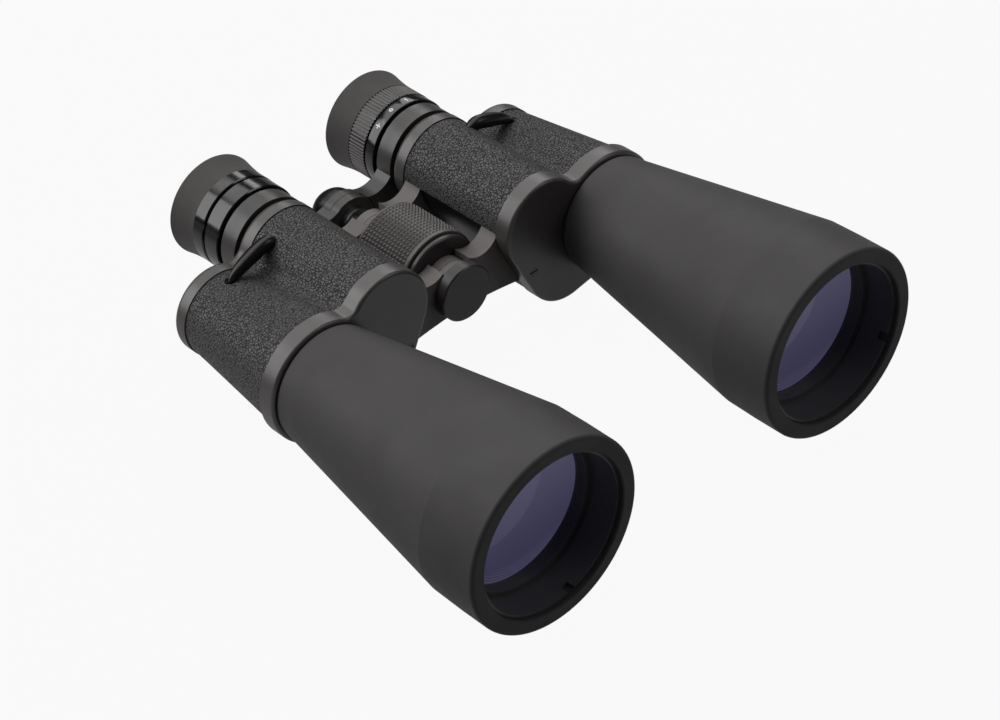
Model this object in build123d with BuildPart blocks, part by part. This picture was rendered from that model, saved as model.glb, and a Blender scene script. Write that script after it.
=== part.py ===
"""Large Porro-prism binoculars, built as an assembly of separate pieces.

Drawing frame, in millimetres: stations along Y are counted from the plane of
the objective rims, and heights from the objective axes. X runs to the user's
right, the objectives look along -Y, the eyepieces point along +Y, and Z points
up as the object lies on a table. Paired pieces are drawn on the right-hand
(+X) side and mirrored in X = 0. The finished pieces are set down with the
origin below the middle of the object, at the level of the tubes' lowest line.
"""
import os
from math import atan2, cos, hypot, pi, sin, sqrt

from build123d import *

# Optical axes and hinge axis
OBJ_X = 66.4
EYE_X = 36.45
EYE_Z = 10.55
HINGE_Z = -0.9

# Fits
RUN = 0.05
PRESS = 0.02
CLEAR = 0.3
END_GAP = 0.2
LAP_GAP = 0.2

# Prism housings
LOBE_R = 17.2
OBJ_LOBE_FRONT_R = 22.3
OBJ_LOBE_REAR_R = LOBE_R - 0.5
VALLEY_R = 5.7
COVER_PROUD = 0.45
SKIN = 0.6
SKIN_GAP = 0.3
WALL = 2.0
SHELF = 2.4
PRISM_WIDTH = 16.0
PRISM_TIP = 1.0
PRISM_PLAY = 0.6
COVER_FLOOR = 2.0
FRONT_COVER_RIM = 2.8
REAR_COVER_RIM = 3.2
FRONT_COVER_ROUND = 1.3
REAR_COVER_ROUND = 2.2

# Objective tubes
TUBE_R = 36.0
RIM_WIDTH = 5.65
RIM_ROUND = 1.4
RIM_CHAMFER = 0.4
CAP_SEAT = 12.0
TUBE_DROP = 0.26
TUBE_WALL = 2.4
COLLAR_PROUD = 1.3
COLLAR_LIP = 1.6
TUBE_END_CHAMFER = 0.65
SPIGOT_STEP = 2.0
LENS_EDGE = 2.4
LENS_SEAT = 1.6
CROWN_EDGE = 3.1
CROWN_BULGE = 2.1
CROWN_REAR_BULGE = 1.9
FLINT_EDGE = 4.0
FLINT_HOLLOW = 1.9
RETAINER_WALL = 0.8
RETAINER_LIP = 5.5
NOTCH_WIDTH = 3.0
NOTCH_DEPTH = 3.2
NOTCH_ANGLE_RIGHT = -27.0
NOTCH_ANGLE_LEFT = -77.0

# Lengths along the optical axes, from the objective rims to the eyecup rims
RETAINER_FRONT_Y = 2.0
LENS_FACE_Y = 19.6
TUBE_STRAIGHT = 25.4
TUBE_CONE = 87.6
COLLAR_LENGTH = 7.0
SKIN_LENGTH = 49.6
REAR_COVER_LENGTH = 6.2
FOCUS_IN = 1.0
FOCUS_OUT = 7.5
FOCUS_PLAY = 0.25
BRIDGE_WIDTH = 7.35
DIOPTRE_IN = 1.1
EYE_RING_LENGTH = 13.7
EYECUP_LENGTH = 11.9

TUBE_BREAK_Y = TUBE_STRAIGHT
FRONT_FACE_Y = TUBE_BREAK_Y + TUBE_CONE
FRONT_SEAM_Y = FRONT_FACE_Y + COLLAR_LENGTH
REAR_SEAM_Y = FRONT_SEAM_Y + SKIN_LENGTH
REAR_FACE_Y = REAR_SEAM_Y + REAR_COVER_LENGTH
SHELF_Y = (FRONT_SEAM_Y + REAR_SEAM_Y) / 2
BRIDGE_FRONT_Y = REAR_FACE_Y + FOCUS_IN + FOCUS_PLAY
BRIDGE_REAR_Y = BRIDGE_FRONT_Y + BRIDGE_WIDTH
EYE_RING_FRONT_Y = BRIDGE_REAR_Y + DIOPTRE_IN + END_GAP
EYE_RING_REAR_Y = EYE_RING_FRONT_Y + EYE_RING_LENGTH
EYECUP_RIM_Y = EYE_RING_REAR_Y + EYECUP_LENGTH

MOUTH_R = TUBE_R - RIM_WIDTH
RETAINER_R = MOUTH_R - 0.35
LENS_R = RETAINER_R - 0.4
CLEAR_R = LENS_R - LENS_EDGE
LENS_SEAT_Y = LENS_FACE_Y + CROWN_EDGE + FLINT_EDGE
COLLAR_R = OBJ_LOBE_FRONT_R + COLLAR_PROUD
TUBE_REAR_R = COLLAR_R - COLLAR_LIP
SPIGOT_R = TUBE_REAR_R - SPIGOT_STEP

# Hinge and focusing
BARREL_R = 11.0
KNUCKLE_R = BARREL_R - 1.8
LUG_LENGTH = 8.0
LUG_INSET = 0.7
AXLE_R = BARREL_R / 2
AXLE_REACH = 1.5
SPINDLE_R = AXLE_R - 2.0
TRIPOD_TAP_R = 2.55
TRIPOD_DEPTH = 10.0
CAP_LENGTH = 4.8
CAP_FLOOR = 1.8
EDGE_BREAK = 0.5
WHEEL_R = 17.4
WHEEL_EDGE = 0.7
WHEEL_GAP = 1.0
STOP_DISC = 1.8
STOP_DISC_R = WHEEL_R - 1.0
SPACER_LENGTH = 3.5
SPACER_R = BARREL_R - 1.5
PIN_R = 1.2
PIN_PLAY = 0.6
PIN_REACH = AXLE_R + 1.7
CAP_FACE_Y = FRONT_SEAM_Y - CAP_LENGTH
REAR_LUG_Y = REAR_SEAM_Y - LUG_INSET - LUG_LENGTH
STOP_DISC_Y = FRONT_SEAM_Y + LUG_LENGTH + END_GAP
WHEEL_FRONT_Y = STOP_DISC_Y + STOP_DISC + WHEEL_GAP
WHEEL_REAR_Y = REAR_LUG_Y - SPACER_LENGTH - 2 * END_GAP
PIN_Y = (WHEEL_FRONT_Y + WHEEL_REAR_Y - FOCUS_OUT + FOCUS_IN) / 2
SPINDLE_NOSE = 4.0
SPINDLE_FLANGE = 2.4
JOURNAL_R = SPINDLE_R + 1.0
FLANGE_R = JOURNAL_R + 2.0
STUD_R = SPINDLE_R - 0.5
STUD_LENGTH = 4.8
HUB_R = BARREL_R - 0.7
DOME_R = HUB_R - 1.0
DOME_HEIGHT = 10.6
DOME_WALL = 2.0
DOME_Y = BRIDGE_REAR_Y + END_GAP
STUD_Y = DOME_Y + STUD_LENGTH
HUB_SPLIT_Y = (BRIDGE_FRONT_Y + BRIDGE_REAR_Y) / 2
ARM_HUB_ANGLE = 50.0
ARM_RING_ANGLE = 182.5
ARM_WAIST = 0.18
ARM_BOTTOM = HINGE_Z - HUB_R / 2
ARM_FULL_X = HUB_R - 1.5
WEB_ROOT = 12.0
WEB_RISE = 1.2
WEB_TOP = EYE_Z + WEB_RISE
WEB_NECK_X = BARREL_R - 4.8
WEB_NECK = BARREL_R - 1.1
WEB_DIP = (5.0, -1.9)
WEB_KEEL = (12.0, -1.1)
WEB_BOTTOM = HINGE_Z - WEB_NECK - 3.1
WEB_BROW = 0.2

# Eyepieces
OCULAR_INSET = 5.0
OCULAR_R = LOBE_R - OCULAR_INSET
OCULAR_WALL = 1.35
CELL_R = OCULAR_R - OCULAR_WALL
CELL_WALL = 1.1
EYE_LENS_R = CELL_R - CELL_WALL
EYE_LENS_EDGE = 0.95
EYE_CLEAR_R = EYE_LENS_R - EYE_LENS_EDGE
CELL_SEAT = 0.9
CELL_FLANGE_R = CELL_R + 1.75
CELL_FLANGE_IN = 0.9
CELL_FLANGE_OUT = 1.0
EYE_SEAT_DEPTH = 6.0
FIELD_SEAT_DEPTH = 6.0
CELL_SETBACK = 2.0
EYE_LENS_RIM = 4.6
FIELD_LENS_RIM = 3.6
EYE_BULGE = 1.6
FIELD_BULGE = 1.4
LENS_RELIEF = 0.4
GUIDE_WALL = 1.35
GUIDE_R = OCULAR_R + RUN + GUIDE_WALL
GUIDE_LENGTH = 17.8
GUIDE_FLANGE = 0.6
GUIDE_FLANGE_LENGTH = 1.6
GUIDE_FRONT_Y = REAR_FACE_Y - GUIDE_LENGTH
BRIDGE_SEAT_R = OCULAR_R + 2.8
BRIDGE_WALL = 2.4
BRIDGE_RING_R = BRIDGE_SEAT_R + BRIDGE_WALL
OCULAR_REAR_R = OCULAR_R + 1.3
OCULAR_BACK = 6.9
RING_FLANGE_BACK = 3.9
OCULAR_REAR_Y = EYE_RING_REAR_Y - OCULAR_BACK
RING_FLANGE_Y = EYE_RING_REAR_Y - RING_FLANGE_BACK
CIRCLIP_R = CELL_R + 1.6
CIRCLIP_WIDTH = 1.3
EYE_RING_R = BRIDGE_RING_R + 0.9
RING_EDGE = 0.4
GROOVE_DEPTH = 1.3
GROOVE_WIDTH = 0.9
REAR_BAND = 5.4
SCALE_BAND = 4.5
SCALE_GROOVE = 0.8
SCALE_STEP = 0.2
RIB_COUNT = 72
RIB_GAP = 0.7
RIB_DEPTH = 0.5
RIB_FRONT_Y = EYE_RING_FRONT_Y + SCALE_BAND + SCALE_GROOVE
CUP_FLARE = 1.3
EYECUP_R = EYE_RING_R + CUP_FLARE
CUP_WALL = 2.2
CUP_LIP = 0.7
CUP_FLOOR = 2.4
CUP_SLOPE = 1.0
CUP_HOLE_R = CELL_FLANGE_R + CLEAR

# Small fasteners and the strap lugs
BOSS_R = 2.6
BOSS_LENGTH = 9.0
BOSS_DEEP = SKIN + SKIN_GAP + BOSS_R + 0.1
SCREW_R = 1.0
SCREW_HEAD_R = 1.9
SCREW_HEAD = 1.1
SCREW_SLOT = 0.6
SCREW_LENGTH = 6.0
SCREW_TAP = SCREW_LENGTH + 1.0
CLIP_STRIP = 0.6
CLIP_WIDTH = 6.0
CLIP_FOOT = 2.6
CLIP_PLAY = 0.1
LUG_BAR_R = 2.0
LUG_BACK = 7.1
LUG_ROOT = 3.4
LUG_RISE = 2.7
LUG_BEND = LUG_BAR_R + 0.6
LUG_O_ANGLE = 91.3
LUG_E_ANGLE = 50.8

O = (OBJ_X, 0.0)
E = (EYE_X, EYE_Z)
H = (0.0, HINGE_Z)
# The two prism offsets are equal and at right angles, so the middle lobe
# stands on the right-angled corner below the line from objective to eyepiece.
P = (
    O[0] + (E[0] - O[0] - (E[1] - O[1])) / 2,
    O[1] + (E[0] - O[0] + E[1] - O[1]) / 2,
)
PRISM_OFFSET = hypot(P[0] - O[0], P[1] - O[1])
SHELF_FRONT_Y = SHELF_Y - SHELF / 2
SHELF_REAR_Y = SHELF_Y + SHELF / 2


def at(y):
    """Sketch plane square to the optical axes, with local x, y along X, Z."""
    return Plane(origin=(0, y, 0), x_dir=(1, 0, 0), z_dir=(0, -1, 0))


def unit(a, b):
    """Unit vector from point a to point b and its length."""
    d = hypot(b[0] - a[0], b[1] - a[1])
    return (b[0] - a[0]) / d, (b[1] - a[1]) / d, d


def toward(a, b, r):
    """Point at distance r from a on the way to b."""
    ux, uy, _ = unit(a, b)
    return a[0] + r * ux, a[1] + r * uy


def tangent(a, ra, b, rb):
    """Outer tangent points of two circles, on the right of the way a to b."""
    ux, uy, d = unit(a, b)
    c = (ra - rb) / d
    s = sqrt(1 - c * c)
    mx = ux * c + uy * s
    my = uy * c - ux * s
    return (a[0] + ra * mx, a[1] + ra * my), (b[0] + rb * mx, b[1] + rb * my)


def mid_on(centre, start, end):
    """Point half way along the counter-clockwise arc from start to end."""
    a0 = atan2(start[1] - centre[1], start[0] - centre[0])
    a1 = atan2(end[1] - centre[1], end[0] - centre[0])
    if a1 <= a0:
        a1 += 2 * pi
    r = hypot(start[0] - centre[0], start[1] - centre[1])
    return centre[0] + r * cos((a0 + a1) / 2), centre[1] + r * sin((a0 + a1) / 2)


def lobes(y, ro, re, rp, rv):
    """Sketch of the housing outline at y: objective, eyepiece and corner lobes,
    with a hollow of radius rv between the objective and eyepiece lobes."""
    ux, uy, d = unit(O, E)
    along = ((ro + rv) ** 2 - (re + rv) ** 2 + d * d) / (2 * d)
    up = sqrt((ro + rv) ** 2 - along ** 2)
    f = (O[0] + along * ux + up * uy, O[1] + along * uy - up * ux)
    vo = toward(O, f, ro)
    ve = toward(E, f, re)
    vm = toward(f, ((vo[0] + ve[0]) / 2, (vo[1] + ve[1]) / 2), rv)
    e1, p0 = tangent(E, re, P, rp)
    p1, o0 = tangent(P, rp, O, ro)
    with BuildSketch(at(y)) as outline:
        with BuildLine():
            ThreePointArc(o0, mid_on(O, o0, vo), vo)
            ThreePointArc(vo, vm, ve)
            ThreePointArc(ve, mid_on(E, ve, e1), e1)
            Line(e1, p0)
            ThreePointArc(p0, mid_on(P, p0, p1), p1)
            Line(p1, o0)
        make_face()
    return outline.sketch


def obj_lobe_r(y):
    """Radius of the covered objective lobe at a station along the housing."""
    t = (y - FRONT_SEAM_Y) / (REAR_SEAM_Y - FRONT_SEAM_Y)
    return OBJ_LOBE_FRONT_R + t * (OBJ_LOBE_REAR_R - OBJ_LOBE_FRONT_R)


def body_face(y, inset):
    """Outline of the covered housing at y, moved inwards by inset."""
    return lobes(y, obj_lobe_r(y) - inset, LOBE_R - inset, LOBE_R - inset, VALLEY_R + inset)


def turn(profile, axis_at):
    """Revolve (radius, y) corners about an axis along Y, in the open part."""
    cx, cz = axis_at
    with BuildSketch(Plane(origin=(cx, 0, cz))) as section:
        with BuildLine():
            Polyline(*profile, close=True)
        make_face()
    revolve(section.sketch, axis=Axis((cx, 0, cz), (0, 1, 0)))


def turned(profile, axis_at):
    """Piece of revolution from (radius, y) corners about an axis along Y."""
    with BuildPart() as piece:
        turn(profile, axis_at)
    return piece


def sag(height, clear_r):
    """Depth at half the clear radius of a spherical cap of the given height."""
    if height == 0:
        return 0.0
    r = (clear_r ** 2 + height ** 2) / (2 * height)
    return r - sqrt(r * r - clear_r ** 2 / 4) if r > 0 else r + sqrt(r * r - clear_r ** 2 / 4)


def lens_surface(vertex, end, clear_r):
    """Polished surface from the axis to the clear radius, flat or spherical."""
    start = (0, vertex)
    stop = (clear_r, end)
    if end == vertex:
        Line(start, stop)
    else:
        ThreePointArc(start, (clear_r / 2, vertex + sag(end - vertex, clear_r)), stop)


def lens(front, rear, axis_at, edge_r, clear_r):
    """Lens with flat seats at its edge: front and rear are (vertex y, y of the
    curve at the clear radius, y of the seat)."""
    cx, cz = axis_at
    with BuildPart() as piece:
        with BuildSketch(Plane(origin=(cx, 0, cz))):
            with BuildLine():
                lens_surface(front[0], front[1], clear_r)
                if front[2] != front[1]:
                    Line((clear_r, front[1]), (clear_r, front[2]))
                Line((clear_r, front[2]), (edge_r, front[2]))
                Line((edge_r, front[2]), (edge_r, rear[2]))
                Line((edge_r, rear[2]), (clear_r, rear[2]))
                if rear[2] != rear[1]:
                    Line((clear_r, rear[2]), (clear_r, rear[1]))
                lens_surface(rear[0], rear[1], clear_r)
                Line((0, rear[0]), (0, front[0]))
            make_face()
        revolve(axis=Axis((cx, 0, cz), (0, 1, 0)))
    return piece


def mirrored(piece):
    """The same piece for the left-hand side."""
    with BuildPart() as other:
        mirror(piece.part, about=Plane.YZ)
    return other


# Places of the small fasteners and of the strap lug's bar
EP = unit(E, P)
OP = unit(O, P)
BOSS_OFF = LOBE_R - BOSS_DEEP
BOSS_OFF_O = OBJ_LOBE_REAR_R - BOSS_DEEP
FRONT_SCREW_ALONG = 0.563 * EP[2]
FRONT_SCREW = (
    E[0] + FRONT_SCREW_ALONG * EP[0] + BOSS_OFF * EP[1],
    E[1] + FRONT_SCREW_ALONG * EP[1] - BOSS_OFF * EP[0],
)
REAR_SCREWS = (
    (O[0] - BOSS_OFF_O * OP[0], O[1] - BOSS_OFF_O * OP[1]),
    (P[0] + BOSS_OFF * OP[0], P[1] + BOSS_OFF * OP[1]),
)
LUG_Y = REAR_SEAM_Y - LUG_BACK
LUG_O_R = obj_lobe_r(LUG_Y)


def around(centre, angle, r):
    """Point at distance r from a centre, at an angle in degrees from +X."""
    return centre[0] + r * cos(angle * pi / 180), centre[1] + r * sin(angle * pi / 180)


LUG_POINTS = (
    around(O, LUG_O_ANGLE, LUG_O_R - LUG_ROOT),
    around(O, LUG_O_ANGLE, LUG_O_R + LUG_RISE),
    around(E, LUG_E_ANGLE, LOBE_R + LUG_RISE),
    around(E, LUG_E_ANGLE, LOBE_R - LUG_ROOT),
)


def lug_sweep(r, mode=Mode.ADD):
    """Round bar along the strap-lug path."""
    pts = [(x, LUG_Y, z) for x, z in LUG_POINTS]
    with BuildLine() as path:
        FilletPolyline(*pts, radius=LUG_BEND)
    with BuildSketch(Plane(origin=path.line @ 0, z_dir=path.line % 0)) as section:
        Circle(r)
    sweep(section.sketch, path=path.line, mode=mode)


def web_sketch(y):
    """Hinge web between the knuckle and the eyepiece lobe, hollowed on top."""
    wall = EYE_X - LOBE_R
    neck = (WEB_NECK_X, HINGE_Z + WEB_NECK)
    heel = (WEB_NECK_X, HINGE_Z - WEB_NECK)
    brow = (wall + WEB_BROW, WEB_TOP)
    with BuildSketch(at(y)) as web:
        with BuildLine():
            ThreePointArc(neck, (neck[0] + WEB_DIP[0], neck[1] + WEB_DIP[1]), brow)
            Polyline(brow, (wall + WEB_ROOT, WEB_TOP), (wall + WEB_ROOT, WEB_BOTTOM))
            ThreePointArc(
                (wall + WEB_ROOT, WEB_BOTTOM),
                (heel[0] + WEB_KEEL[0], heel[1] + WEB_KEEL[1]),
                heel,
            )
            Line(heel, neck)
        make_face()
    return web.sketch


def casting(front_ring, rear_ring, bore):
    """Housing casting with its hinge lugs; each ring band is (y0, y1)."""
    skin_in = SKIN + SKIN_GAP
    lugs = (
        (FRONT_SEAM_Y, FRONT_SEAM_Y + LUG_LENGTH, front_ring),
        (REAR_LUG_Y, REAR_LUG_Y + LUG_LENGTH, rear_ring),
    )
    with BuildPart() as body:
        loft((body_face(FRONT_SEAM_Y, skin_in), body_face(REAR_SEAM_Y, skin_in)))
        for y0, y1, ring in lugs:
            extrude(web_sketch(y0), amount=y0 - y1)
            with BuildSketch(at(y0)):
                with Locations(H):
                    Circle(KNUCKLE_R + CLEAR)
            extrude(amount=y0 - y1, mode=Mode.SUBTRACT)
            with BuildSketch(at(ring[0])):
                with Locations(H):
                    Circle(KNUCKLE_R)
            extrude(amount=ring[0] - ring[1])
            extrude(web_sketch(ring[0]), amount=ring[0] - ring[1])
            with BuildSketch(at(y0)):
                with Locations(H):
                    Circle(bore)
            extrude(amount=y0 - y1, mode=Mode.SUBTRACT)
        for y0, y1 in ((FRONT_SEAM_Y, SHELF_FRONT_Y), (SHELF_REAR_Y, REAR_SEAM_Y)):
            pocket = (body_face(y0, skin_in + WALL), body_face(y1, skin_in + WALL))
            loft(pocket, mode=Mode.SUBTRACT)
        with BuildSketch(at(SHELF_FRONT_Y)):
            with Locations(O, P, E):
                Circle(PRISM_WIDTH / 2 - CLEAR)
        extrude(amount=-SHELF, mode=Mode.SUBTRACT)
        with BuildSketch(at(FRONT_SEAM_Y)):
            with Locations(FRONT_SCREW):
                Circle(BOSS_R)
        extrude(amount=-BOSS_LENGTH)
        with BuildSketch(at(REAR_SEAM_Y)):
            with Locations(*REAR_SCREWS):
                Circle(BOSS_R)
        extrude(amount=BOSS_LENGTH)
        with BuildSketch(at(FRONT_SEAM_Y)):
            with Locations(FRONT_SCREW):
                Circle(SCREW_R + RUN)
        extrude(amount=-SCREW_TAP, mode=Mode.SUBTRACT)
        with BuildSketch(at(REAR_SEAM_Y)):
            with Locations(*REAR_SCREWS):
                Circle(SCREW_R + RUN)
        extrude(amount=SCREW_TAP, mode=Mode.SUBTRACT)
        lug_sweep(LUG_BAR_R + PRESS, Mode.SUBTRACT)
    return body


def leather():
    """Covering around the casting, left off beside the hinge and at the strap lug."""
    with BuildPart() as skin:
        loft((body_face(FRONT_SEAM_Y, 0), body_face(REAR_SEAM_Y, 0)))
        inside = (body_face(FRONT_SEAM_Y, SKIN), body_face(REAR_SEAM_Y, SKIN))
        loft(inside, mode=Mode.SUBTRACT)
        with BuildSketch(at(FRONT_SEAM_Y - CLEAR)):
            with Locations(((EYE_X - LOBE_R + WEB_ROOT) / 2, (WEB_TOP + WEB_BOTTOM) / 2)):
                Rectangle(EYE_X - LOBE_R + WEB_ROOT + 2 * CLEAR, WEB_TOP - WEB_BOTTOM + 2 * CLEAR)
        extrude(amount=FRONT_SEAM_Y - REAR_LUG_Y - LUG_LENGTH - 2 * CLEAR, mode=Mode.SUBTRACT)
        lug_sweep(LUG_BAR_R + CLEAR, Mode.SUBTRACT)
    return skin


def cover_face(y, ro, grow, proud=COVER_PROUD):
    """Outline of a cover at y, moved outwards by grow."""
    r = LOBE_R + proud + grow
    return lobes(y, ro + grow, r, r, VALLEY_R - proud - grow)


def front_cover():
    """Front plate with its rim and the collar that takes the objective tube."""
    with BuildPart() as cover:
        extrude(cover_face(FRONT_FACE_Y, COLLAR_R, 0), amount=-COLLAR_LENGTH)
        outer = cover.edges().group_by(Axis.Y)[0]
        fillet(outer, radius=FRONT_COVER_ROUND)
        inside = cover_face(FRONT_FACE_Y + COVER_FLOOR, COLLAR_R, -FRONT_COVER_RIM)
        extrude(inside, amount=COVER_FLOOR - COLLAR_LENGTH, mode=Mode.SUBTRACT)
        with BuildSketch(at(FRONT_FACE_Y)):
            with Locations(O):
                Circle(COLLAR_R - FRONT_COVER_ROUND)
        extrude(amount=-COLLAR_LENGTH)
        with BuildSketch(at(FRONT_FACE_Y)):
            with Locations(O):
                Circle(SPIGOT_R + RUN)
        extrude(amount=-COLLAR_LENGTH, mode=Mode.SUBTRACT)
        with BuildSketch(at(FRONT_FACE_Y)):
            with Locations(FRONT_SCREW):
                Circle(BOSS_R)
        extrude(amount=-COLLAR_LENGTH)
        with BuildSketch(at(FRONT_FACE_Y)):
            with Locations(FRONT_SCREW):
                Circle(SCREW_R + RUN)
        extrude(amount=-COLLAR_LENGTH, mode=Mode.SUBTRACT)
        with BuildSketch(at(FRONT_FACE_Y)):
            with Locations(FRONT_SCREW):
                Circle(SCREW_HEAD_R + RUN)
        extrude(amount=-SCREW_HEAD, mode=Mode.SUBTRACT)
    return cover


def rear_cover():
    """Rear cap of the housing, bored for the eyepiece guide."""
    with BuildPart() as cover:
        whole = cover_face(REAR_SEAM_Y, OBJ_LOBE_REAR_R + COVER_PROUD, 0)
        extrude(whole, amount=-REAR_COVER_LENGTH)
        outer = cover.edges().group_by(Axis.Y)[-1]
        fillet(outer, radius=REAR_COVER_ROUND)
        inside = cover_face(REAR_SEAM_Y, OBJ_LOBE_REAR_R + COVER_PROUD, -REAR_COVER_RIM)
        extrude(inside, amount=COVER_FLOOR - REAR_COVER_LENGTH, mode=Mode.SUBTRACT)
        with BuildSketch(at(REAR_SEAM_Y)):
            with Locations(*REAR_SCREWS):
                Circle(BOSS_R)
        extrude(amount=COVER_FLOOR / 2 - REAR_COVER_LENGTH)
        with BuildSketch(at(REAR_SEAM_Y)):
            with Locations(E):
                Circle(GUIDE_R + RUN)
        extrude(amount=-REAR_COVER_LENGTH, mode=Mode.SUBTRACT)
        with BuildSketch(at(REAR_SEAM_Y)):
            with Locations(*REAR_SCREWS):
                Circle(SCREW_R + RUN)
        extrude(amount=-REAR_COVER_LENGTH, mode=Mode.SUBTRACT)
        with BuildSketch(at(REAR_FACE_Y)):
            with Locations(*REAR_SCREWS):
                Circle(SCREW_HEAD_R + RUN)
        extrude(amount=SCREW_HEAD, mode=Mode.SUBTRACT)
    return cover


def screw(places, head_y, tip_y, sense):
    """Cheese-head screws along Y with a straight slot, driven along sense."""
    neck_y = head_y + sense * SCREW_HEAD
    with BuildPart() as screws:
        with BuildSketch(at(head_y)):
            with Locations(*places):
                Circle(SCREW_HEAD_R)
        extrude(amount=head_y - neck_y)
        with BuildSketch(at(neck_y)):
            with Locations(*places):
                Circle(SCREW_R)
        extrude(amount=neck_y - tip_y)
        with BuildSketch(at(head_y)):
            with Locations(*places):
                Rectangle(2 * SCREW_HEAD_R, SCREW_SLOT)
        extrude(amount=(head_y - neck_y) / 2, mode=Mode.SUBTRACT)
    return screws


def prism(a, b, base_y, sense):
    """Porro prism over the beam centres a and b; its roof points along sense."""
    m = ((a[0] + b[0]) / 2, (a[1] + b[1]) / 2)
    ux, uz, d = unit(a, b)
    tip = d - PRISM_TIP / 2
    with BuildPart() as glass:
        with BuildSketch(Plane((m[0], base_y, m[1]), x_dir=(ux, 0, uz), z_dir=(-uz, 0, ux))):
            with BuildLine():
                Polyline(
                    (-d, 0),
                    (d, 0),
                    (PRISM_TIP / 2, sense * tip),
                    (-PRISM_TIP / 2, sense * tip),
                    close=True,
                )
            make_face()
        extrude(amount=PRISM_WIDTH / 2, both=True)
        with BuildSketch(at(base_y)):
            with Locations(a, b):
                Circle(LOBE_R - SKIN - SKIN_GAP - WALL - PRISM_PLAY)
            with Locations(Location((m[0], m[1], 0), (0, 0, atan2(uz, ux) * 180 / pi))):
                Rectangle(d, 2 * PRISM_WIDTH)
        extrude(amount=-sense * 2 * tip, mode=Mode.INTERSECT)
    return glass


def clip(a, b, base_y, sense):
    """Bent strap that holds a prism down on the shelf."""
    m = ((a[0] + b[0]) / 2, (a[1] + b[1]) / 2)
    ux, uz, d = unit(a, b)
    w = PRISM_WIDTH / 2 + CLIP_PLAY
    t = CLIP_STRIP
    tip = d - PRISM_TIP / 2
    foot = CLIP_FOOT
    plane = Plane((m[0], base_y, m[1]), x_dir=(-uz, 0, ux), z_dir=(-ux, 0, -uz))
    with BuildPart() as strap:
        with BuildSketch(plane):
            with BuildLine():
                Polyline(
                    (-w - t - foot, 0),
                    (-w, 0),
                    (-w, sense * tip),
                    (w, sense * tip),
                    (w, 0),
                    (w + t + foot, 0),
                    (w + t + foot, sense * t),
                    (w + t, sense * t),
                    (w + t, sense * (tip + t)),
                    (-w - t, sense * (tip + t)),
                    (-w - t, sense * t),
                    (-w - t - foot, sense * t),
                    close=True,
                )
            make_face()
        extrude(amount=CLIP_WIDTH / 2, both=True)
    return strap


def strap_lug():
    """Bar of the strap lug with its two legs."""
    with BuildPart() as lug:
        lug_sweep(LUG_BAR_R)
    return lug


def cone_r(y):
    """Outer radius of the tapered part of the objective tube."""
    t = (y - TUBE_BREAK_Y) / TUBE_CONE
    return TUBE_R - TUBE_DROP + t * (TUBE_REAR_R - TUBE_R + TUBE_DROP)


def objective_tube():
    """Objective tube: straight front with a rounded rim, then a long taper."""
    cx, cz = O
    bore_from = LENS_SEAT_Y + 2 * TUBE_WALL
    bore_to = FRONT_FACE_Y - 2 * TUBE_WALL
    with BuildPart() as tube:
        with BuildSketch(Plane(origin=(cx, 0, cz))):
            with BuildLine():
                Line((MOUTH_R + RIM_CHAMFER, 0), (TUBE_R - RIM_ROUND, 0))
                ThreePointArc(
                    (TUBE_R - RIM_ROUND, 0),
                    (TUBE_R - RIM_ROUND * (1 - sqrt(0.5)), RIM_ROUND * (1 - sqrt(0.5))),
                    (TUBE_R, RIM_ROUND),
                )
                Polyline(
                    (TUBE_R, RIM_ROUND),
                    (TUBE_R, RIM_ROUND + CAP_SEAT),
                    (TUBE_R - TUBE_DROP, TUBE_BREAK_Y),
                    (cone_r(FRONT_FACE_Y - TUBE_END_CHAMFER), FRONT_FACE_Y - TUBE_END_CHAMFER),
                    (TUBE_REAR_R - TUBE_END_CHAMFER, FRONT_FACE_Y),
                    (SPIGOT_R, FRONT_FACE_Y),
                    (SPIGOT_R, FRONT_SEAM_Y - CLEAR),
                    (SPIGOT_R - TUBE_WALL, FRONT_SEAM_Y - CLEAR),
                    (SPIGOT_R - TUBE_WALL, FRONT_FACE_Y - TUBE_WALL),
                    (cone_r(bore_to) - TUBE_WALL, bore_to),
                    (cone_r(bore_from) - TUBE_WALL, bore_from),
                    (LENS_R - LENS_SEAT, LENS_SEAT_Y + TUBE_WALL),
                    (LENS_R - LENS_SEAT, LENS_SEAT_Y),
                    (LENS_R + RUN, LENS_SEAT_Y),
                    (LENS_R + RUN, LENS_FACE_Y),
                    (RETAINER_R + RUN, LENS_FACE_Y),
                    (RETAINER_R + RUN, RETAINER_FRONT_Y - END_GAP),
                    (MOUTH_R, RETAINER_FRONT_Y - END_GAP),
                    (MOUTH_R, RIM_CHAMFER),
                    (MOUTH_R + RIM_CHAMFER, 0),
                )
            make_face()
        revolve(axis=Axis((cx, 0, cz), (0, 1, 0)))
    return tube


def retainer(angle):
    """Threaded ring that holds the objective: a thin sleeve with two spanner
    notches at the given angle and a lip that bears on the lens."""
    lip_y = LENS_FACE_Y - RETAINER_LIP
    with BuildPart() as ring:
        turn(
            (
                (RETAINER_R - RETAINER_WALL, RETAINER_FRONT_Y),
                (RETAINER_R, RETAINER_FRONT_Y),
                (RETAINER_R, LENS_FACE_Y),
                (CLEAR_R + END_GAP, LENS_FACE_Y),
                (CLEAR_R + END_GAP, lip_y),
                (RETAINER_R - RETAINER_WALL, lip_y),
            ),
            O,
        )
        with BuildSketch(at(RETAINER_FRONT_Y)):
            with Locations(Location((O[0], O[1], 0), (0, 0, angle))):
                Rectangle(2 * RETAINER_R + NOTCH_WIDTH, NOTCH_WIDTH)
        extrude(amount=-NOTCH_DEPTH, mode=Mode.SUBTRACT)
    return ring


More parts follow.
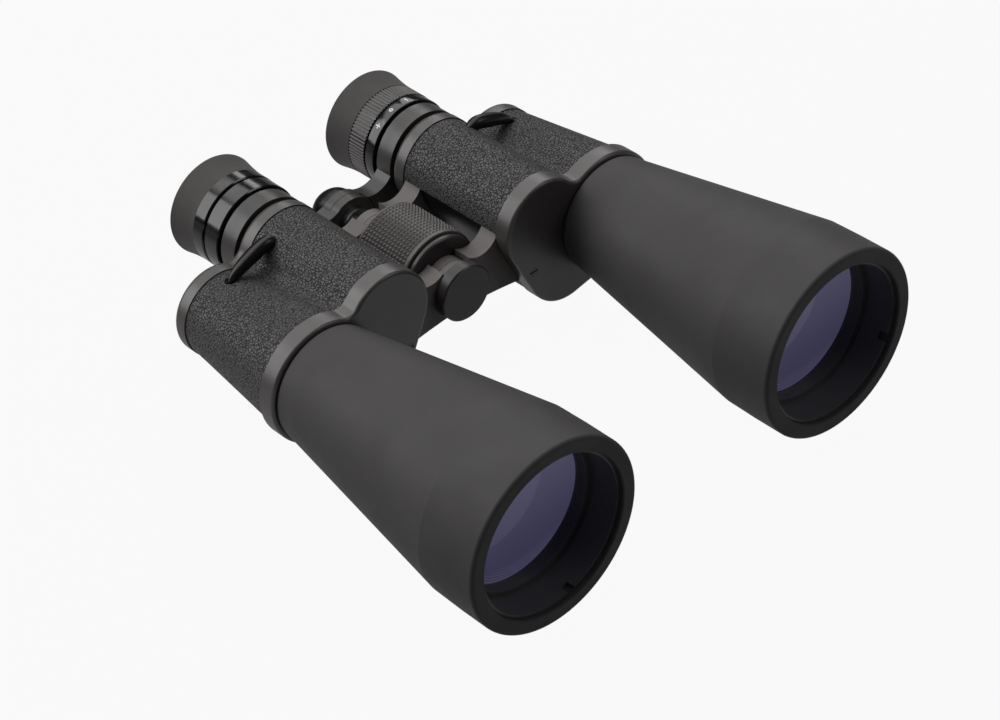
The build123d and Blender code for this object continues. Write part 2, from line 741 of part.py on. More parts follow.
def ocular_guide():
    """Fixed sleeve behind the rear cover in which the eyepiece slides."""
    seat = REAR_FACE_Y - COVER_FLOOR
    return turned(
        (
            (OCULAR_R + RUN, GUIDE_FRONT_Y),
            (GUIDE_R, GUIDE_FRONT_Y),
            (GUIDE_R, seat - GUIDE_FLANGE_LENGTH),
            (GUIDE_R + GUIDE_FLANGE, seat - GUIDE_FLANGE_LENGTH),
            (GUIDE_R + GUIDE_FLANGE, seat),
            (GUIDE_R, seat),
            (GUIDE_R, REAR_FACE_Y - END_GAP),
            (OCULAR_R + RUN, REAR_FACE_Y - END_GAP),
        ),
        E,
    )


def ocular_tube():
    """Sliding eyepiece tube with the seat for the bridge ring."""
    return turned(
        (
            (CELL_R + RUN, GUIDE_FRONT_Y),
            (OCULAR_R, GUIDE_FRONT_Y),
            (OCULAR_R, BRIDGE_FRONT_Y),
            (BRIDGE_SEAT_R, BRIDGE_FRONT_Y),
            (BRIDGE_SEAT_R, BRIDGE_REAR_Y),
            (OCULAR_REAR_R, BRIDGE_REAR_Y),
            (OCULAR_REAR_R, OCULAR_REAR_Y),
            (CELL_R + RUN, OCULAR_REAR_Y),
        ),
        E,
    )


def lens_cell():
    """Lens tube of the eyepiece, with seats for both lenses and a rear flange."""
    bore = EYE_LENS_R + RUN
    field_y = GUIDE_FRONT_Y + CELL_SETBACK + FIELD_SEAT_DEPTH
    eye_y = EYE_RING_REAR_Y - EYE_SEAT_DEPTH
    return turned(
        (
            (bore, GUIDE_FRONT_Y + CELL_SETBACK),
            (CELL_R, GUIDE_FRONT_Y + CELL_SETBACK),
            (CELL_R, EYE_RING_REAR_Y - CELL_FLANGE_IN),
            (CELL_FLANGE_R, EYE_RING_REAR_Y - CELL_FLANGE_IN),
            (CELL_FLANGE_R, EYE_RING_REAR_Y + CELL_FLANGE_OUT),
            (bore, EYE_RING_REAR_Y + CELL_FLANGE_OUT),
            (bore, eye_y),
            (EYE_LENS_R - CELL_SEAT, eye_y),
            (EYE_LENS_R - CELL_SEAT, field_y),
            (bore, field_y),
        ),
        E,
    )


def field_lens():
    """Front lens of the eyepiece."""
    seat = GUIDE_FRONT_Y + CELL_SETBACK + FIELD_SEAT_DEPTH
    front = seat - FIELD_LENS_RIM
    hollow = seat - LENS_RELIEF
    return lens((front - FIELD_BULGE, front, front), (hollow, hollow, seat), E, EYE_LENS_R, EYE_CLEAR_R)


def eye_lens():
    """Rear lens of the eyepiece, the one the eye looks into."""
    seat = EYE_RING_REAR_Y - EYE_SEAT_DEPTH
    rear = seat + EYE_LENS_RIM
    hollow = seat + LENS_RELIEF
    return lens((hollow, hollow, seat), (rear + EYE_BULGE, rear, rear), E, EYE_LENS_R, EYE_CLEAR_R)


def ring_inside():
    """Inner corners that both eyepiece rings share, from the rear to the front."""
    return (
        (CELL_FLANGE_R + RUN, EYE_RING_REAR_Y),
        (CELL_FLANGE_R + RUN, EYE_RING_REAR_Y - CELL_FLANGE_IN),
        (CELL_R + RUN, EYE_RING_REAR_Y - CELL_FLANGE_IN),
        (CELL_R + RUN, RING_FLANGE_Y),
        (OCULAR_REAR_R + RUN, RING_FLANGE_Y),
        (OCULAR_REAR_R + RUN, EYE_RING_FRONT_Y),
    )


def plain_ring():
    """Fixed eyepiece ring: two polished bands parted by a groove."""
    groove = EYE_RING_REAR_Y - REAR_BAND
    front_r = EYE_RING_R - SCALE_STEP / 2
    return turned(
        (
            (front_r - RING_EDGE, EYE_RING_FRONT_Y),
            (front_r, EYE_RING_FRONT_Y + RING_EDGE),
            (front_r, groove - GROOVE_WIDTH - RING_EDGE),
            (front_r - RING_EDGE, groove - GROOVE_WIDTH),
            (EYE_RING_R - GROOVE_DEPTH, groove - GROOVE_WIDTH),
            (EYE_RING_R - GROOVE_DEPTH, groove),
            (EYE_RING_R - RING_EDGE, groove),
            (EYE_RING_R, groove + RING_EDGE),
            (EYE_RING_R, EYE_RING_REAR_Y),
            *ring_inside(),
        ),
        E,
    )


def dioptre_ring():
    """Turning eyepiece ring: a scale band in front and a ribbed grip behind."""
    band_r = EYE_RING_R - SCALE_STEP
    with BuildPart() as ring:
        turn(
            (
                (band_r - RING_EDGE, EYE_RING_FRONT_Y),
                (band_r, EYE_RING_FRONT_Y + RING_EDGE),
                (band_r, RIB_FRONT_Y - SCALE_GROOVE),
                (EYE_RING_R - GROOVE_DEPTH, RIB_FRONT_Y - SCALE_GROOVE),
                (EYE_RING_R - GROOVE_DEPTH, RIB_FRONT_Y),
                (EYE_RING_R, RIB_FRONT_Y),
                (EYE_RING_R, EYE_RING_REAR_Y),
                *ring_inside(),
            ),
            E,
        )
        with BuildSketch(at(RIB_FRONT_Y)):
            with Locations(E):
                with PolarLocations(EYE_RING_R, RIB_COUNT):
                    Rectangle(2 * RIB_DEPTH, RIB_GAP)
        extrude(amount=RIB_FRONT_Y - EYE_RING_REAR_Y, mode=Mode.SUBTRACT)
    return ring


def cell_circlip():
    """Ring that keeps the turning ring on the lens cell."""
    return turned(
        (
            (CELL_R + PRESS, RING_FLANGE_Y - RUN - CIRCLIP_WIDTH),
            (CIRCLIP_R, RING_FLANGE_Y - RUN - CIRCLIP_WIDTH),
            (CIRCLIP_R, RING_FLANGE_Y - RUN),
            (CELL_R + PRESS, RING_FLANGE_Y - RUN),
        ),
        E,
    )


def eyecup():
    """Flared rubber eyecup, hollow behind the eye lens."""
    cx, cz = E
    base = EYE_RING_REAR_Y
    rim = EYECUP_RIM_Y
    floor = base + CUP_FLOOR
    inner = EYECUP_R - CUP_WALL
    with BuildPart() as cup:
        with BuildSketch(Plane(origin=(cx, 0, cz))):
            with BuildLine():
                Polyline(
                    (EYECUP_R - CUP_LIP, rim),
                    (inner + CUP_LIP, rim),
                    (inner, rim - CUP_LIP),
                    (inner - CUP_FLARE / 2, floor + CUP_SLOPE),
                    (CUP_HOLE_R, floor),
                    (CUP_HOLE_R, base),
                    (EYE_RING_R, base),
                )
                Spline(
                    (EYE_RING_R, base),
                    (EYE_RING_R + 0.08 * CUP_FLARE, base + 0.22 * EYECUP_LENGTH),
                    (EYE_RING_R + 0.42 * CUP_FLARE, base + 0.57 * EYECUP_LENGTH),
                    (EYECUP_R, rim - CUP_LIP),
                )
                ThreePointArc(
                    (EYECUP_R, rim - CUP_LIP),
                    (EYECUP_R - 0.293 * CUP_LIP, rim - 0.293 * CUP_LIP),
                    (EYECUP_R - CUP_LIP, rim),
                )
            make_face()
        revolve(axis=Axis((cx, 0, cz), (0, 1, 0)))
    return cup


def arm_sketch(y):
    """Bridge arm from the hub to the eyepiece ring, waisted on top."""
    hub = around(H, ARM_HUB_ANGLE, HUB_R)
    ring = around(E, ARM_RING_ANGLE, BRIDGE_RING_R)
    waist = ((hub[0] + ring[0]) / 2, (hub[1] + ring[1]) / 2 - ARM_WAIST * (ring[0] - hub[0]))
    with BuildSketch(at(y)) as arm:
        with BuildLine():
            ThreePointArc(hub, waist, ring)
            Polyline(
                ring,
                E,
                (EYE_X - BRIDGE_RING_R * 0.5, EYE_Z - BRIDGE_RING_R * 0.866),
                (ARM_FULL_X, ARM_BOTTOM),
                (0, ARM_BOTTOM),
                H,
                hub,
            )
        make_face()
    return arm.sketch


def bridge_arm(y0, y1, bore):
    """Bridge arm: clamp ring on the eyepiece, waisted web, and half-lapped hub eye."""
    full = BRIDGE_WIDTH
    with BuildPart() as arm:
        with BuildSketch(at(BRIDGE_FRONT_Y)):
            with Locations(E):
                Circle(BRIDGE_RING_R)
        extrude(amount=-full)
        extrude(arm_sketch(BRIDGE_FRONT_Y), amount=-full)
        with BuildSketch(at(BRIDGE_FRONT_Y)):
            with Locations(H):
                Circle(HUB_R + CLEAR)
        extrude(amount=-full, mode=Mode.SUBTRACT)
        with BuildSketch(at(y0)):
            with Locations(H):
                Circle(HUB_R)
        extrude(amount=y0 - y1)
        extrude(arm_sketch(y0), amount=y0 - y1)
        with BuildSketch(at(BRIDGE_FRONT_Y)):
            with Locations(H):
                Circle(bore)
            with Locations(E):
                Circle(BRIDGE_SEAT_R + PRESS)
        extrude(amount=-full, mode=Mode.SUBTRACT)
    return arm


def hinge_axle():
    """Hollow hinge axle: tripod thread in front, slotted for the drive pin."""
    front = CAP_FACE_Y + CAP_FLOOR
    rear = REAR_LUG_Y + LUG_LENGTH + AXLE_REACH
    solid_to = PIN_Y - FOCUS_IN - SPINDLE_NOSE - PIN_PLAY
    with BuildPart() as axle:
        turn(
            (
                (TRIPOD_TAP_R, front),
                (AXLE_R, front),
                (AXLE_R, rear),
                (SPINDLE_R + RUN, rear),
                (SPINDLE_R + RUN, solid_to),
                (0, solid_to),
                (0, front + TRIPOD_DEPTH),
                (TRIPOD_TAP_R, front + TRIPOD_DEPTH),
            ),
            H,
        )
        y0 = PIN_Y - FOCUS_IN - PIN_R - PIN_PLAY
        y1 = PIN_Y + FOCUS_OUT + PIN_R + PIN_PLAY
        with BuildSketch(at(y0)):
            with Locations(H):
                Rectangle(3 * AXLE_R, 2 * PIN_R + 2 * RUN)
        extrude(amount=y0 - y1, mode=Mode.SUBTRACT)
    return axle


def hinge_cap():
    """Round front cap that covers the tripod thread."""
    front = CAP_FACE_Y
    rear = FRONT_SEAM_Y
    recess = CAP_FACE_Y + CAP_FLOOR
    return turned(
        (
            (0, front),
            (BARREL_R - EDGE_BREAK, front),
            (BARREL_R, front + EDGE_BREAK),
            (BARREL_R, rear),
            (AXLE_R + RUN, rear),
            (AXLE_R + RUN, recess),
            (0, recess),
        ),
        H,
    )


def focus_wheel():
    """Focus wheel running on the axle, relieved inside for the drive pin."""
    relief0 = PIN_Y - FOCUS_IN - PIN_R - 2 * PIN_PLAY
    relief1 = PIN_Y + FOCUS_OUT + PIN_R + 2 * PIN_PLAY
    return turned(
        (
            (AXLE_R + RUN, WHEEL_FRONT_Y),
            (WHEEL_R - WHEEL_EDGE, WHEEL_FRONT_Y),
            (WHEEL_R, WHEEL_FRONT_Y + WHEEL_EDGE),
            (WHEEL_R, WHEEL_REAR_Y - WHEEL_EDGE),
            (WHEEL_R - WHEEL_EDGE, WHEEL_REAR_Y),
            (AXLE_R + RUN, WHEEL_REAR_Y),
            (AXLE_R + RUN, relief1),
            (PIN_REACH + CLEAR, relief1),
            (PIN_REACH + CLEAR, relief0),
            (AXLE_R + RUN, relief0),
        ),
        H,
    )


def stop_disc():
    """Thin stop disc between the front hinge lug and the focus wheel."""
    rear = STOP_DISC_Y + STOP_DISC
    return turned(
        (
            (AXLE_R + PRESS, STOP_DISC_Y),
            (STOP_DISC_R - EDGE_BREAK, STOP_DISC_Y),
            (STOP_DISC_R, STOP_DISC_Y + EDGE_BREAK),
            (STOP_DISC_R, rear),
            (AXLE_R + PRESS, rear),
        ),
        H,
    )


def focus_spacer():
    """Collar on the axle behind the focus wheel."""
    front = WHEEL_REAR_Y + END_GAP
    return turned(
        (
            (AXLE_R + PRESS, front),
            (SPACER_R, front),
            (SPACER_R, front + SPACER_LENGTH),
            (AXLE_R + PRESS, front + SPACER_LENGTH),
        ),
        H,
    )


def focus_spindle():
    """Sliding spindle inside the axle that carries the bridge."""
    with BuildPart() as spindle:
        turn(
            (
                (0, PIN_Y - SPINDLE_NOSE),
                (SPINDLE_R, PIN_Y - SPINDLE_NOSE),
                (SPINDLE_R, BRIDGE_FRONT_Y - SPINDLE_FLANGE),
                (FLANGE_R, BRIDGE_FRONT_Y - SPINDLE_FLANGE),
                (FLANGE_R, BRIDGE_FRONT_Y),
                (JOURNAL_R, BRIDGE_FRONT_Y),
                (JOURNAL_R, DOME_Y),
                (STUD_R, DOME_Y),
                (STUD_R, STUD_Y),
                (0, STUD_Y),
            ),
            H,
        )
        with BuildSketch(Plane(origin=(0, PIN_Y, HINGE_Z), x_dir=(0, 1, 0), z_dir=(1, 0, 0))):
            Circle(PIN_R + PRESS)
        extrude(amount=2 * SPINDLE_R, both=True, mode=Mode.SUBTRACT)
    return spindle


def drive_pin():
    """Cross pin that joins the spindle to the focus wheel."""
    with BuildPart() as pin:
        with BuildSketch(Plane(origin=(0, PIN_Y, HINGE_Z), x_dir=(0, 1, 0), z_dir=(1, 0, 0))):
            Circle(PIN_R)
        extrude(amount=PIN_REACH, both=True)
    return pin


def bridge_cap():
    """Domed nut on the end of the spindle that holds both bridge arms."""
    cx, cz = H
    tip = DOME_Y + DOME_HEIGHT
    with BuildPart() as dome:
        with BuildSketch(Plane(origin=(cx, 0, cz))):
            with BuildLine():
                Polyline(
                    (0, tip),
                    (0, STUD_Y + RUN),
                    (STUD_R + RUN, STUD_Y + RUN),
                    (STUD_R + RUN, DOME_Y),
                    (DOME_R, DOME_Y),
                    (DOME_R, DOME_Y + DOME_WALL),
                )
                Spline(
                    (DOME_R, DOME_Y + DOME_WALL),
                    (0.86 * DOME_R, DOME_Y + 0.604 * DOME_HEIGHT),
                    (0.484 * DOME_R, DOME_Y + 0.906 * DOME_HEIGHT),
                    (0, tip),
                    tangents=((0, 1), (-1, 0)),
                )
            make_face()
        revolve(axis=Axis((cx, 0, cz), (0, 1, 0)))
    return dome


# Half-lapped hinge rings: the right-hand ring stands in front at the front lug
# and behind at the rear lug.
F0 = FRONT_SEAM_Y + LAP_GAP
F1 = FRONT_SEAM_Y + LUG_LENGTH
FM = (F0 + F1) / 2
R0 = REAR_LUG_Y
R1 = REAR_LUG_Y + LUG_LENGTH
RM = (R0 + R1) / 2
RIGHT_RINGS = ((F0, FM - LAP_GAP / 2), (RM + LAP_GAP / 2, R1))
LEFT_RINGS = ((FM + LAP_GAP / 2, F1), (R0, RM - LAP_GAP / 2))


def prism_clips():
    """The two straps of one housing, as separate solids of one group."""
    rear = clip(O, P, SHELF_REAR_Y, 1)
    front = clip(P, E, SHELF_FRONT_Y, -1)
    with BuildPart() as straps:
        add(rear.part)
        add(front.part)
    return straps


def objective_crown():
    """Front element of the objective, convex on both sides."""
    front = (LENS_FACE_Y - CROWN_BULGE, LENS_FACE_Y, LENS_FACE_Y)
    rear = LENS_FACE_Y + CROWN_EDGE
    return lens(front, (rear + CROWN_REAR_BULGE, rear, rear), O, LENS_R, CLEAR_R)


def objective_flint():
    """Rear element of the objective, hollowed in front and flat behind."""
    front = LENS_FACE_Y + CROWN_EDGE
    hollow = front + LENS_RELIEF
    back = (LENS_SEAT_Y, LENS_SEAT_Y, LENS_SEAT_Y)
    return lens((hollow + FLINT_HOLLOW, hollow, front), back, O, LENS_R, CLEAR_R)


pairs = {
    "leatherette": leather(),
    "front_cover": front_cover(),
    "rear_cover": rear_cover(),
    "front_cover_screw": screw((FRONT_SCREW,), FRONT_FACE_Y, FRONT_SEAM_Y + SCREW_LENGTH, 1),
    "rear_cover_screws": screw(REAR_SCREWS, REAR_FACE_Y, REAR_SEAM_Y - SCREW_LENGTH, -1),
    "objective_tube": objective_tube(),
    "objective_crown": objective_crown(),
    "objective_flint": objective_flint(),
    "rear_prism": prism(O, P, SHELF_REAR_Y, 1),
    "front_prism": prism(P, E, SHELF_FRONT_Y, -1),
    "prism_clips": prism_clips(),
    "strap_lug": strap_lug(),
    "ocular_guide": ocular_guide(),
    "ocular_tube": ocular_tube(),
    "lens_cell": lens_cell(),
    "field_lens": field_lens(),
    "eye_lens": eye_lens(),
    "eyecup": eyecup(),
}
pieces = {
    "right_prism_housing": casting(*RIGHT_RINGS, AXLE_R + RUN),
    "left_prism_housing": mirrored(casting(*LEFT_RINGS, AXLE_R + PRESS)),
    "right_bridge_arm": bridge_arm(HUB_SPLIT_Y + LAP_GAP / 2, BRIDGE_REAR_Y, JOURNAL_R + RUN),
    "left_bridge_arm": mirrored(bridge_arm(BRIDGE_FRONT_Y, HUB_SPLIT_Y - LAP_GAP / 2, JOURNAL_R + PRESS)),
    "right_objective_retainer": retainer(NOTCH_ANGLE_RIGHT),
    "left_objective_retainer": mirrored(retainer(180 - NOTCH_ANGLE_LEFT)),
    "left_eyepiece_ring": mirrored(plain_ring()),
    "right_dioptre_ring": dioptre_ring(),
    "right_cell_circlip": cell_circlip(),
    "hinge_axle": hinge_axle(),
    "hinge_cap": hinge_cap(),
    "focus_wheel": focus_wheel(),
    "focus_stop_disc": stop_disc(),
    "focus_spacer": focus_spacer(),
    "focus_spindle": focus_spindle(),
    "drive_pin": drive_pin(),
    "bridge_cap": bridge_cap(),
}
for name, piece in pairs.items():
    pieces["right_" + name] = piece
    pieces["left_" + name] = mirrored(piece)

SET_DOWN = Location((0, -EYECUP_RIM_Y / 2, TUBE_R))

os.makedirs("parts", exist_ok=True)
for name, piece in pieces.items():
    piece.part.move(SET_DOWN)
    piece.part.label = name
    export_step(piece.part, "parts/" + name + ".step")
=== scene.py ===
"""Dresses a packed pair of large prism binoculars for the studio.

Stations are given in millimetres in the drawing frame: Y counts back from the
plane of the objective rims and heights count from the objective axes. One
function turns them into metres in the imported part's own frame.
"""
import logging
import math
from dataclasses import dataclass
from enum import Enum
from typing import Any, Sequence

import bmesh
import bpy
from mathutils import Matrix, Vector


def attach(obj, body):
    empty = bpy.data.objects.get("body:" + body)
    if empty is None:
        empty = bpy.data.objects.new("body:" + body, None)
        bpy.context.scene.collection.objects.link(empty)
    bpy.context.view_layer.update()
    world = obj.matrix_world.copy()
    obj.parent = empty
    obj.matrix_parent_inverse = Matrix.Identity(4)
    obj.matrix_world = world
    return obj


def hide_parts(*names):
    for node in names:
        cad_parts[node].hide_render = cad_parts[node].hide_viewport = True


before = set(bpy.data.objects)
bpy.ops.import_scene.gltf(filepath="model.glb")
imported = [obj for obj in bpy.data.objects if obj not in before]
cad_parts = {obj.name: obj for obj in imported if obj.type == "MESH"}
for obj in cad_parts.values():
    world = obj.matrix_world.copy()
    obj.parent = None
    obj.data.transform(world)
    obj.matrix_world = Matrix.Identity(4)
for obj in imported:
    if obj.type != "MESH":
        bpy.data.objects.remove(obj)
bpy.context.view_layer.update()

LOG = logging.getLogger("binoculars")

MM = 0.001
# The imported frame's origin lies this far behind the rims and below the objective axes.
RIMS_BACK = 105.65
AXES_UP = 36.0
# Axes of the objectives, the eyepieces and the hinge in the drawing frame.
OBJECTIVE_X = 66.4
EYE_X, EYE_Z = 36.45, 10.55
HINGE_X, HINGE_Z = 0.0, -0.9
ALONG_X = (1.0, 0.0, 0.0)
ALONG_Y = (0.0, 1.0, 0.0)
# Most of a noise texture's values lie between these two.
NOISE_LOW, NOISE_HIGH = 0.3, 0.7
# The sockets of a Mix node share their names, so they go by number.
SHARE = 0
VECTOR_A, VECTOR_B, VECTOR_OUT = 4, 5, 1
COLOUR_A, COLOUR_B, COLOUR_OUT = 6, 7, 2
# A repeated shape's Z is turned to one direction, then its X to another.
Z_THEN_X = {"primary_axis": "Z", "secondary_axis": "X"}

Rgba = tuple[float, float, float, float]
Feeds = dict[str | int, Any]
Rows = list[list[tuple[float, float]]]
Tree = bpy.types.NodeTree
Socket = bpy.types.NodeSocket
Sockets = bpy.types.NodeOutputs


class Body(Enum):
    """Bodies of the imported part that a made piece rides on."""

    LEFT_BODY = "left_body"
    RIGHT_BODY = "right_body"
    WHEEL = "wheel"
    DIOPTRE = "right_dioptre"


class Side(Enum):
    """Which barrel a piece belongs to, with its sign along X."""

    LEFT = -1
    RIGHT = 1

    @property
    def word(self) -> str:
        """Node-name prefix of this side."""
        return self.name.lower()

    @property
    def body(self) -> str:
        """Body that carries this barrel."""
        return Body[self.name + "_BODY"].value


class Sign(Enum):
    """Painted signs of the dioptre scale, with their angles in degrees round the band."""

    PLUS = 131.4
    NOUGHT = 107.4
    MINUS = 83.2


def place(x: float, y: float, z: float) -> Vector:
    """Turns a drawing-frame point in millimetres into the part's frame.

    Args:
        x: Distance from the hinge towards the right barrel.
        y: Station behind the objective rims.
        z: Height above the objective axes.

    Returns:
        The point in metres.
    """
    return Vector((x, y - RIMS_BACK, z + AXES_UP)) * MM


def to_linear(code: str) -> Rgba:
    """Turns an sRGB hex code into linear RGBA.

    Args:
        code: Colour such as "#1f1e1e".

    Returns:
        Linear red, green, blue and an alpha of 1.
    """
    parts = [int(code[i : i + 2], 16) / 255 for i in (1, 3, 5)]
    lin = [c / 12.92 if c <= 0.04045 else ((c + 0.055) / 1.055) ** 2.4 for c in parts]
    return lin[0], lin[1], lin[2], 1.0


def feed(tree: Tree, node: bpy.types.Node, feeds: Feeds) -> None:
    """Gives a node's inputs their values and links.

    Args:
        tree: Tree that holds the node.
        node: The node.
        feeds: Input name or index to a value, or to the socket it links from.
    """
    for key, value in feeds.items():
        if isinstance(value, bpy.types.NodeSocket):
            tree.links.new(value, node.inputs[key])
        else:
            node.inputs[key].default_value = value


def add_node(tree: Tree, kind: str, feeds: Feeds | None = None, **settings: Any) -> Sockets:
    """Adds a node to a tree with its settings and links.

    Args:
        tree: Shader or geometry node tree.
        kind: Node type.
        feeds: Input name or index to a value, or to the socket it links from.
        settings: Properties of the node.

    Returns:
        The node's outputs.
    """
    node = tree.nodes.new(kind)
    for name, value in settings.items():
        setattr(node, name, value)
    feed(tree, node, feeds or {})
    return node.outputs


# Finishes: one class per kind of surface, then one named value per material.


@dataclass(frozen=True)
class Finish:
    """A surface finish that can make its material once and reuse it."""

    name: str
    base: str
    roughness: float
    specular: float = 0.5

    def material(self) -> bpy.types.Material:
        """Makes the material, or returns the one made before.

        Returns:
            The finished material.
        """
        known = bpy.data.materials.get(self.name)
        if known is not None:
            return known
        made = bpy.data.materials.new(self.name)
        made.use_nodes = True
        made.diffuse_color = to_linear(self.base)
        tree = made.node_tree
        shader = tree.nodes["Principled BSDF"]
        plain = {
            "Base Color": to_linear(self.base),
            "Roughness": self.roughness,
            "Specular IOR Level": self.specular,
        }
        feed(tree, shader, plain)
        coords = add_node(tree, "ShaderNodeTexCoord")["Object"]
        feed(tree, shader, self.dress(tree, coords))
        return made

    def dress(self, tree: Tree, coords: Socket) -> Feeds:
        """Adds no pattern: a plain finish has none."""
        return {}


@dataclass(frozen=True, kw_only=True)
class CoatedMetal(Finish):
    """Sprayed coating on alloy: a fine even tooth with faint cloudiness.

    The tooth is drawn coarser than a real one, which would be too fine to show.
    """

    cloud: str
    tooth_mm: float
    tooth_depth_mm: float = 0.012
    cloud_mm: float = 22.0
    cloud_rough: float = 0.62
    swing: float = 0.06

    def dress(self, tree: Tree, coords: Socket) -> Feeds:
        """Adds the cloud of colour, the gloss variation and the tooth.

        Args:
            tree: Material tree.
            coords: Object coordinates.

        Returns:
            What the shader's inputs take.
        """
        scale = 1 / (self.cloud_mm * MM)
        feeds = {"Vector": coords, "Scale": scale, "Detail": 5.0, "Roughness": self.cloud_rough}
        haze = add_node(tree, "ShaderNodeTexNoise", feeds)["Fac"]
        feeds = {SHARE: haze, COLOUR_A: to_linear(self.base), COLOUR_B: to_linear(self.cloud)}
        tone = add_node(tree, "ShaderNodeMix", feeds, data_type="RGBA")[COLOUR_OUT]
        feeds = {
            "Value": haze,
            "From Min": NOISE_LOW,
            "From Max": NOISE_HIGH,
            "To Min": self.roughness - self.swing,
            "To Max": self.roughness + self.swing,
        }
        gloss = add_node(tree, "ShaderNodeMapRange", feeds)["Result"]
        feeds = {"Vector": coords, "Scale": 1 / (self.tooth_mm * MM), "Detail": 3.0}
        tooth = add_node(tree, "ShaderNodeTexNoise", feeds)["Fac"]
        feeds = {"Height": tooth, "Strength": 0.5, "Distance": self.tooth_depth_mm * MM}
        bump = add_node(tree, "ShaderNodeBump", feeds)["Normal"]
        return {"Base Color": tone, "Roughness": gloss, "Normal": bump}


@dataclass(frozen=True)
class Leatherette(Finish):
    """Pressed vinyl cloth: irregular shiny pebbles between narrow dull creases painted dark as
    painted shade.

    The drift and fine sizes are in pebbles, and the crease width is a share of one.
    The scale along the barrel makes the pebbles longer that way.
    """

    # Dark colour of the creases: painted shade, standing in for the relief's own shading.
    crease: str = "#0a0909"
    crease_rough: float = 0.65
    crease_width: float = 0.17
    pebble_mm: float = 0.95
    depth_mm: float = 0.26
    drift_size: float = 2.2
    drift_pull: float = 0.0016
    along_scale: float = 0.72
    fine_size: float = 0.55
    fine_drop: float = 0.35

    def dress(self, tree: Tree, coords: Socket) -> Feeds:
        """Adds pebbles of two sizes, their creases painted dark as painted shade, and the gloss on
        their tops.

        Args:
            tree: Material tree.
            coords: Object coordinates.

        Returns:
            What the shader's inputs take.
        """
        scale = 1 / (self.drift_size * self.pebble_mm * MM)
        feeds = {"Vector": coords, "Scale": scale, "Detail": 2.0}
        drift = add_node(tree, "ShaderNodeTexNoise", feeds)["Color"]
        feeds = {SHARE: self.drift_pull, VECTOR_A: coords, VECTOR_B: drift}
        bent = add_node(tree, "ShaderNodeMix", feeds, data_type="VECTOR")[VECTOR_OUT]
        feeds = {"Vector": bent, "Scale": (1.0, self.along_scale, 1.0)}
        grid = add_node(tree, "ShaderNodeMapping", feeds)["Vector"]
        feeds = {"Vector": grid, "Scale": 1 / (self.pebble_mm * MM), "Randomness": 0.95}
        kind = "ShaderNodeTexVoronoi"
        edge = add_node(tree, kind, feeds, feature="DISTANCE_TO_EDGE")["Distance"]
        scale = 1 / (self.fine_size * self.pebble_mm * MM)
        feeds = {"Vector": grid, "Scale": scale, "Smoothness": 0.6}
        fine = add_node(tree, kind, feeds, feature="SMOOTH_F1")["Distance"]
        feeds = {"Value": edge, "From Max": self.crease_width}
        smooth = "SMOOTHSTEP"
        dome = add_node(tree, "ShaderNodeMapRange", feeds, interpolation_type=smooth)["Result"]
        feeds = {0: fine, 1: -self.fine_drop, 2: dome}
        rise = add_node(tree, "ShaderNodeMath", feeds, operation="MULTIPLY_ADD")["Value"]
        # Painted shade: the crease colour darkens the base between the pebbles.
        feeds = {SHARE: dome, COLOUR_A: to_linear(self.crease), COLOUR_B: to_linear(self.base)}
        tone = add_node(tree, "ShaderNodeMix", feeds, data_type="RGBA")[COLOUR_OUT]
        feeds = {"Value": dome, "To Min": self.crease_rough, "To Max": self.roughness}
        gloss = add_node(tree, "ShaderNodeMapRange", feeds)["Result"]
        feeds = {"Height": rise, "Strength": 0.85, "Distance": self.depth_mm * MM}
        bump = add_node(tree, "ShaderNodeBump", feeds)["Normal"]
        return {"Base Color": tone, "Roughness": gloss, "Normal": bump}


@dataclass(frozen=True)
class MouldedRubber(Finish):
    """Soft moulded rubber: dull, faintly dusty, with a silky edge sheen.

    The grain is drawn coarser than a real mould leaves it, so that it shows.
    """

    dust: str = "#3a3838"
    dust_mm: float = 9.0
    dust_most: float = 0.55
    grain_mm: float = 0.5
    grain_depth_mm: float = 0.02
    sheen: float = 0.18
    sheen_rough: float = 0.4

    def dress(self, tree: Tree, coords: Socket) -> Feeds:
        """Adds handling dust and the fine skin of the mould.

        Args:
            tree: Material tree.
            coords: Object coordinates.

        Returns:
            What the shader's inputs take.
        """
        scale = 1 / (self.dust_mm * MM)
        feeds = {"Vector": coords, "Scale": scale, "Detail": 6.0, "Roughness": 0.7}
        patch = add_node(tree, "ShaderNodeTexNoise", feeds)["Fac"]
        feeds = {"Value": patch, "From Min": 0.42, "From Max": 0.75, "To Max": self.dust_most}
        much = add_node(tree, "ShaderNodeMapRange", feeds)["Result"]
        feeds = {SHARE: much, COLOUR_A: to_linear(self.base), COLOUR_B: to_linear(self.dust)}
        tone = add_node(tree, "ShaderNodeMix", feeds, data_type="RGBA")[COLOUR_OUT]
        feeds = {"Vector": coords, "Scale": 1 / (self.grain_mm * MM), "Detail": 2.0}
        skin = add_node(tree, "ShaderNodeTexNoise", feeds)["Fac"]
        feeds = {"Height": skin, "Strength": 0.4, "Distance": self.grain_depth_mm * MM}
        bump = add_node(tree, "ShaderNodeBump", feeds)["Normal"]
        sheen = {"Sheen Weight": self.sheen, "Sheen Roughness": self.sheen_rough}
        return {**sheen, "Base Color": tone, "Normal": bump}


@dataclass(frozen=True)
class PolishedPlastic(Finish):
    """Glossy moulded plastic: sharp reflections softened by wiping marks."""

    wipe: float = 0.1
    wipe_mm: float = 4.0

    def dress(self, tree: Tree, coords: Socket) -> Feeds:
        """Adds the wiping marks to the gloss.

        Args:
            tree: Material tree.
            coords: Object coordinates.

        Returns:
            What the shader's inputs take.
        """
        scale = 1 / (self.wipe_mm * MM)
        feeds = {"Vector": coords, "Scale": scale, "Detail": 6.0, "Roughness": 0.7}
        marks = add_node(tree, "ShaderNodeTexNoise", feeds)["Fac"]
        feeds = {
            "Value": marks,
            "From Min": 0.35,
            "From Max": 0.75,
            "To Min": self.roughness,
            "To Max": self.roughness + self.wipe,
        }
        return {"Roughness": add_node(tree, "ShaderNodeMapRange", feeds)["Result"]}


